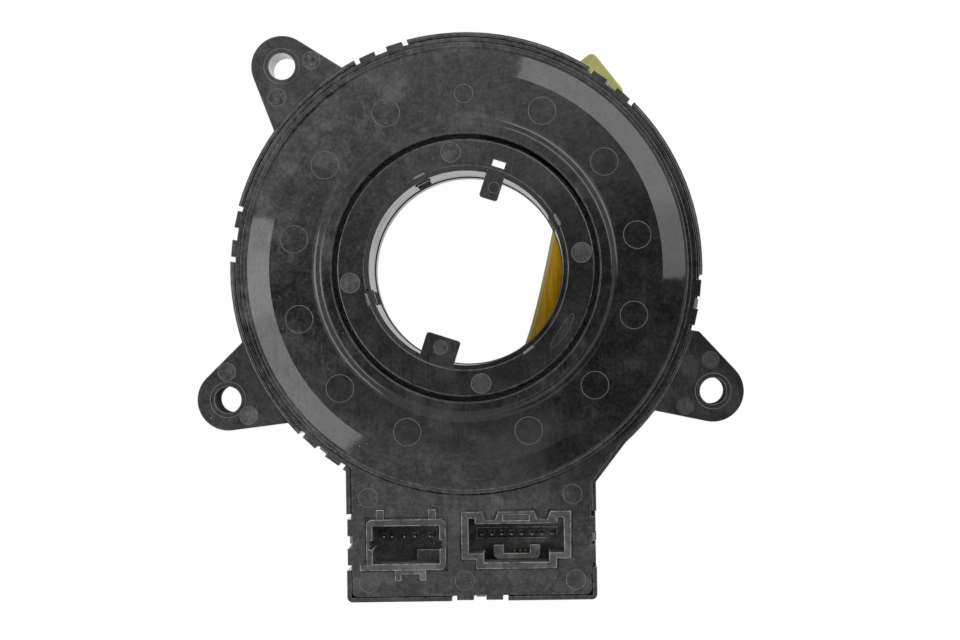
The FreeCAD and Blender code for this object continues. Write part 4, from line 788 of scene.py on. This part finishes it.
def lensOutline(part):      # long, shallow and bent with the ring
    turns = [math.radians(360 / part["steps"] * step) for step in range(part["steps"])]
    return [polarPoint(part["radius"] + part["halfWidth"] * math.sin(turn),
                       part["degrees"] + part["halfSpan"] * math.cos(turn), part["level"]) for turn in turns]


def leftOutline(part):
    left, right = part["x"] - part["halfWidth"], part["x"] + part["halfWidth"]
    bottom, top = part["y"] - part["halfHeight"], part["y"] + part["halfHeight"]
    return [(left, bottom), (right, bottom), (right, top), (left, top)]


def rightOutline(part):     # stepped in at its foot and dipped twice along its top
    top, half, slope = part["top"], part["half"], part["slope"]
    dipTop, shelf, bottom = top - part["dipDepth"], top - part["shelfDepth"], top - part["height"]
    left = [(-half, top), (-half, shelf), (-part["foot"], shelf), (-part["foot"], bottom)]
    dips = [(part["dip"] + slope, top), (part["dip"], dipTop), (part["bump"] + slope, dipTop),
            (part["bump"], top)]
    right = [(-x, y) for x, y in reversed(left)]
    leftDips = [(-x, y) for x, y in reversed(dips)]
    return [(part["x"] + x, y) for x, y in left + right + dips + leftDips]


def makeSeams(sizes):
    tree = seamTree(sizes)

    def bead(name, radiusMm, finish, body, outline):
        values = {"beadRadius": radiusMm * mm, "finish": materials[finish]}
        growPiece(name, tree, values, body, outline, closed=True)

    step = sizes["circleStepDegrees"]
    lens, bore, liner, collar, socket = (sizes[key] for key in ("lens", "bore", "liner", "collar", "socket"))
    bead("ringLens", lens["bead"], "mark_line", "rotor", lensOutline(lens))
    bead("boreLine", bore["bead"], "shade_plastic", "rotor", circleOutline(bore, step))
    # painted shade down the two ear holes
    holeShadeSizes = {key: liner[key] * mm for key in ("radius", "depth", "thickness")}
    holes = flatPoints(liner["places"], liner["level"])
    growPiece("earHoleShade", holeShadeTree(sizes), holeShadeSizes, "stator", holes)
    bead("collarBead", collar["bead"], "cover_plastic", "stator",
         circleOutline(collar, step))
    for name, corners in (("leftSocketSeam", leftOutline(sizes["left"])),
                          ("rightSocketSeam", rightOutline(sizes["right"]))):
        bead(name, socket["bead"], "cover_plastic", "stator",
             flatPoints(corners, socket["level"]))


makeSeams(seamSizes)
print("stage: seams")


# terminal pins: square wire with cut tips

pinSizes = {
    "side": 0.00064,
    "tipSide": 0.00028,
    "tipLength": 0.0009,
    "rows": {"left_pins": ("stator", 1), "right_pins": ("stator", 1), "wheel_pins": ("rotor", -1)},
}


def pinTree():
    inputs = ("side", "tipSide", "tipLength", "length", "facing")
    tree, given = startTree("cutPin", {label: "Float" for label in inputs})
    corner = math.sqrt(0.5)     # a four-sided cone's radius goes to its corners

    def taper(topSide, length):
        sizes = {"Vertices": 4, "Radius Top": topSide * corner, "Radius Bottom": given["side"] * corner,
                 "Depth": length}
        return topSide.node("GeometryNodeMeshCone", {"fill_type": "NGON"}, sizes)

    shaftLength = given["length"] - given["tipLength"]
    shaft = taper(given["side"], shaftLength)
    tip = taper(given["tipSide"], given["tipLength"])
    up = shaftLength.node("ShaderNodeCombineXYZ", {}, {"Z": shaftLength})
    raised = tip.node("GeometryNodeTransform", {}, {"Geometry": tip, "Translation": up})
    pin = shaft.node("GeometryNodeJoinGeometry", {}, {"Geometry": shaft})
    tree.links.new(raised.socket, pin.socket.node.inputs["Geometry"])
    eighth = (0, 0, math.radians(45))
    squared = pin.node("GeometryNodeTransform", {}, {"Geometry": pin, "Rotation": eighth})
    flip = (1 - given["facing"]) * (math.pi / 2)
    turn = flip.node("ShaderNodeCombineXYZ", {}, {"X": flip})
    endTree(copiesOn(given["Geometry"], squared, Rotation=turn), materials["pin_metal"])
    return tree


def islandBoxes(nodeName):      # lowest and highest corner of each loose solid of a node
    work = bmesh.new()
    work.from_mesh(nodes[nodeName].data)
    bmesh.ops.remove_doubles(work, verts=work.verts, dist=weldMm * mm)
    left = set(work.verts)
    boxes = []
    while left:
        reached = [left.pop()]
        island = []
        while reached:
            corner = reached.pop()
            island.append(corner.co.copy())
            for edge in corner.link_edges:
                other = edge.other_vert(corner)
                if other in left:
                    left.remove(other)
                    reached.append(other)
        boxes.append((Vector(map(min, zip(*island))), Vector(map(max, zip(*island)))))
    work.free()
    return sorted(boxes, key=lambda box: box[0].x)


def makePins(sizes):
    tree = pinTree()
    for nodeName, (body, facing) in sizes["rows"].items():
        boxes = islandBoxes(nodeName)
        roots = [((low.x + high.x) / 2, (low.y + high.y) / 2, low.z if facing > 0 else high.z, 1.0)
                 for low, high in boxes]
        low, high = boxes[0]
        values = {key: sizes[key] for key in ("side", "tipSide", "tipLength")}
        values.update(length=high.z - low.z, facing=float(facing))
        piece = growPiece(camel(nodeName), tree, values, body, roots)
        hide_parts(nodeName)


makePins(pinSizes)
print("stage: pins")


# leaf contacts of the shorting clip

leafSizes = {"width": 0.00036, "thickness": 0.00022, "bow": 0.00025, "steps": 8}


def leafTree(sizes):
    tree, given = startTree("leafContact", {
        "width": "Float", "thickness": "Float", "bow": "Vector", "rise": "Vector"})
    points = given["Geometry"]
    spring = points.node("GeometryNodeCurveQuadraticBezier", {}, {
        "Resolution": sizes["steps"], "Start": (0, 0, 0), "Middle": given["bow"], "End": given["rise"]})
    section = points.node("GeometryNodeCurvePrimitiveQuadrilateral", {}, {
        "Width": given["width"], "Height": given["thickness"]})
    leaf = swept(spring, section, capped=True)
    endTree(copiesOn(points, leaf), materials["contact_brass"])
    return tree


def makeLeaves(sizes):
    boxes = islandBoxes("shorting_contacts")
    low, high = boxes[0]
    roots = [((box[0].x + box[1].x) / 2, (low.y + high.y) / 2, low.z, 1.0) for box in boxes]
    rise = high.z - low.z
    values = {"width": sizes["width"], "thickness": sizes["thickness"], "rise": (0, 0, rise),
              "bow": (0, sizes["bow"], rise / 2)}
    leaves = growPiece("shortingContacts", leafTree(sizes), values, "stator", roots)
    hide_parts("shorting_contacts")


makeLeaves(leafSizes)
print("stage: leaf contacts")


# flat cable: a ribbon on edge, wound as a spiral between the drum and the case

cableSizes = {
    "innerRadius": 0.0291,
    "outerRadius": 0.0444,
    "thickness": 0.0003,
    "turns": 3.5,
    "startDegrees": 80.67,
    "stepsPerTurn": 72,
}


def cableTree():
    floats = ("innerRadius", "outerRadius", "thickness", "height", "bottom", "turns", "startTurn")
    tree, given = startTree("woundCable", {**{label: "Float" for label in floats}, "stepsPerTurn": "Int"})
    start = given["turns"]
    winding = start.node("GeometryNodeCurveSpiral", {}, {
        "Resolution": given["stepsPerTurn"], "Rotations": given["turns"],
        "Start Radius": given["innerRadius"], "End Radius": given["outerRadius"], "Height": 0.0})
    upright = winding.node("GeometryNodeSetCurveNormal", {"mode": "Z_UP"}, {"Curve": winding})
    section = start.node("GeometryNodeCurvePrimitiveQuadrilateral", {}, {
        "Width": given["thickness"], "Height": given["height"]})
    ribbon = swept(upright, section, capped=True)
    middle = given["bottom"] + given["height"] * 0.5
    up = middle.node("ShaderNodeCombineXYZ", {}, {"Z": middle})
    turn = start.node("ShaderNodeCombineXYZ", {}, {"Z": given["startTurn"]})
    placed = ribbon.node("GeometryNodeTransform", {}, {
        "Geometry": ribbon, "Translation": up, "Rotation": turn})
    endTree(placed, materials["cable_film"])
    return tree


def makeCable(sizes):
    low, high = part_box("flat_cable")
    values = {key: sizes[key] for key in ("innerRadius", "outerRadius", "thickness", "turns", "stepsPerTurn")}
    values.update(bottom=low.z, height=high.z - low.z, startTurn=math.radians(sizes["startDegrees"]))
    cable = growPiece("flatCable", cableTree(), values, bodyOf["flat_cable"])
    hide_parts("flat_cable")


makeCable(cableSizes)
print("stage: flat cable")


# light, floor and background

studio = {
    "floorLevelMm": -33.05,
    "floorHalf": 3.0,
    "floorGlow": 0.985,         # how far the floor shows as plain white, the rest takes the shadow
    "worldForDiffuse": 0.34,    # the sky's strength for the light on the object
}
flag = {        # places in metres on the card, glows as shares of white, a fade runs between two places
    "halfSize": 1.9,
    "level": 1.3,
    "dark": 0.30,
    "upper": {"glow": 1.05, "slope": 0.25, "fade": (0.03, 0.20)},
    "lower": {"glow": 1.15, "slope": 0.2, "fade": (0.055, 0.155), "rightFade": (0.15, 0.60),
              "nearFade": (0.16, 0.24), "nearLoss": 0.35},
    "corner": {"loss": 0.55, "xFade": (0.030, 0.040), "yFade": (-0.178, -0.172), "xWander": 0.03,
               "yWander": 0.04},
    "patch": {"glow": 0.7, "x": -0.003, "y": -0.087, "halfWidth": 0.030, "halfHeight": 0.017,
              "slope": 0.4, "wander": 0.02, "fade": (0.7, 1.2)},
    "wander": (14.0, 3, 0.6),
    "cloud": (6.0, 4, 0.65),
    "cloudGlow": 0.8,
}
softboxes = [      # azimuth and angle from straight up in degrees, distance, width, height, radiance
    {"name": "leftBox", "azimuth": 197.5, "tilt": 46, "distance": 0.9, "width": 0.83, "height": 0.30,
     "radiance": 3.25},
    {"name": "rightBox", "azimuth": 39.5, "tilt": 44, "distance": 0.9, "width": 0.92, "height": 0.30,
     "radiance": 2.95},
]


def addSoftbox(box):
    data = bpy.data.lights.new(box["name"], "AREA")
    data.shape = "RECTANGLE"
    data.size = box["width"]
    data.size_y = box["height"]
    data.energy = box["radiance"] * math.pi * box["width"] * box["height"]
    lamp = bpy.data.objects.new(box["name"], data)
    azimuth = math.radians(box["azimuth"])
    tilt = math.radians(box["tilt"])
    out = Vector((math.sin(tilt) * math.cos(azimuth), math.sin(tilt) * math.sin(azimuth), math.cos(tilt)))
    lamp.location = out * box["distance"]
    lamp.rotation_euler = out.to_track_quat("Z", "Y").to_euler()
    bpy.context.scene.collection.objects.link(lamp)


def shownRays(wire):       # 1 for what the camera, a reflection or glass sees
    rays = wire.node("ShaderNodeLightPath")
    outputs = rays.socket.node.outputs
    shown = Wire(wire.tree, outputs["Is Camera Ray"]) + Wire(wire.tree, outputs["Is Glossy Ray"])
    return wire.maths("ADD", shown, Wire(wire.tree, outputs["Is Transmission Ray"]), clamp=True)


def makeWorld():
    world = bpy.data.worlds.new("whiteStudio")
    bpy.context.scene.world = world
    world.use_nodes = True
    tree = world.node_tree
    background = tree.nodes["Background"]
    background.inputs["Color"].default_value = (1, 1, 1, 1)
    shown = shownRays(Wire(tree, None))
    strength = studio["worldForDiffuse"] + shown * (1 - studio["worldForDiffuse"])
    tree.links.new(strength.socket, background.inputs["Strength"])


def addCard(name, halfSize, level, faceUp):       # a flat square, with a wire of its still empty material
    corners = [(-halfSize, -halfSize), (halfSize, -halfSize), (halfSize, halfSize), (-halfSize, halfSize)]
    mesh = bpy.data.meshes.new(name)
    mesh.from_pydata([(x, y, level) if faceUp else (y, x, level) for x, y in corners], [], [(0, 1, 2, 3)])
    card = bpy.data.objects.new(name, mesh)
    bpy.context.scene.collection.objects.link(card)
    material = bpy.data.materials.new(name)
    material.use_nodes = True
    mesh.materials.append(material)
    tree = material.node_tree
    tree.nodes.remove(tree.nodes["Principled BSDF"])
    return card, Wire(tree, None)


def finishCard(surface):
    surface.tree.links.new(surface.socket, surface.tree.nodes["Material Output"].inputs["Surface"])


def makeFloor():
    card, wire = addCard("floor", studio["floorHalf"], studio["floorLevelMm"] * mm, faceUp=True)
    matt = wire.node("ShaderNodeBsdfDiffuse", {}, {"Color": (0.9, 0.9, 0.9, 1)})
    glow = wire.node("ShaderNodeEmission", {}, {"Color": (1, 1, 1, 1), "Strength": 1.0})
    share = shownRays(wire) * studio["floorGlow"]
    finishCard(wire.node("ShaderNodeMixShader", {}, {0: share, 1: matt, 2: glow}))


def flagGlow(place):        # the room that shows in the gloss: pale above and below, dark between
    across, ahead = place.parts()[:2]
    near = 0.0 - ahead
    wander = place.noise(*flag["wander"]) - 0.5
    upper, lower, corner, patch = (flag[key] for key in ("upper", "lower", "corner", "patch"))
    above = (ahead - across * upper["slope"]).between(*upper["fade"])
    below = (near - across * lower["slope"]).between(*lower["fade"])
    below = below * (1.0 - across.between(*lower["rightFade"]))
    below = below * (1.0 - near.between(*lower["nearFade"]) * lower["nearLoss"])
    cut = (across + wander * corner["xWander"]).between(*corner["xFade"])
    cut = cut * (ahead + wander * corner["yWander"]).between(*corner["yFade"])
    below = below * (1.0 - cut * corner["loss"])
    x = (across - patch["x"] + wander * patch["wander"]) / patch["halfWidth"]
    y = (ahead - patch["y"] - across * patch["slope"] + wander * patch["wander"]) / patch["halfHeight"]
    spot = 1.0 - (x * x + y * y).between(*patch["fade"])
    cloud = (place.noise(*flag["cloud"]) - 0.5) * flag["cloudGlow"]
    bands = above * upper["glow"] + below * lower["glow"]
    return flag["dark"] + bands + cloud + spot * patch["glow"]


def makeFlag():     # a grey card over the table that only reflections see
    card, wire = addCard("greyFlag", flag["halfSize"], flag["level"], faceUp=False)
    place = wire.node("ShaderNodeTexCoord", output="Object")
    glow = {"Color": (1, 1, 1, 1), "Strength": flagGlow(place)}
    finishCard(wire.node("ShaderNodeEmission", {}, glow))
    card.visible_camera = False
    card.visible_diffuse = False
    card.visible_shadow = False
    card.visible_transmission = False


for box in softboxes:
    addSoftbox(box)
makeWorld()
makeFloor()
makeFlag()
bpy.context.scene.view_settings.view_transform = "Standard"
print("stage: studio")
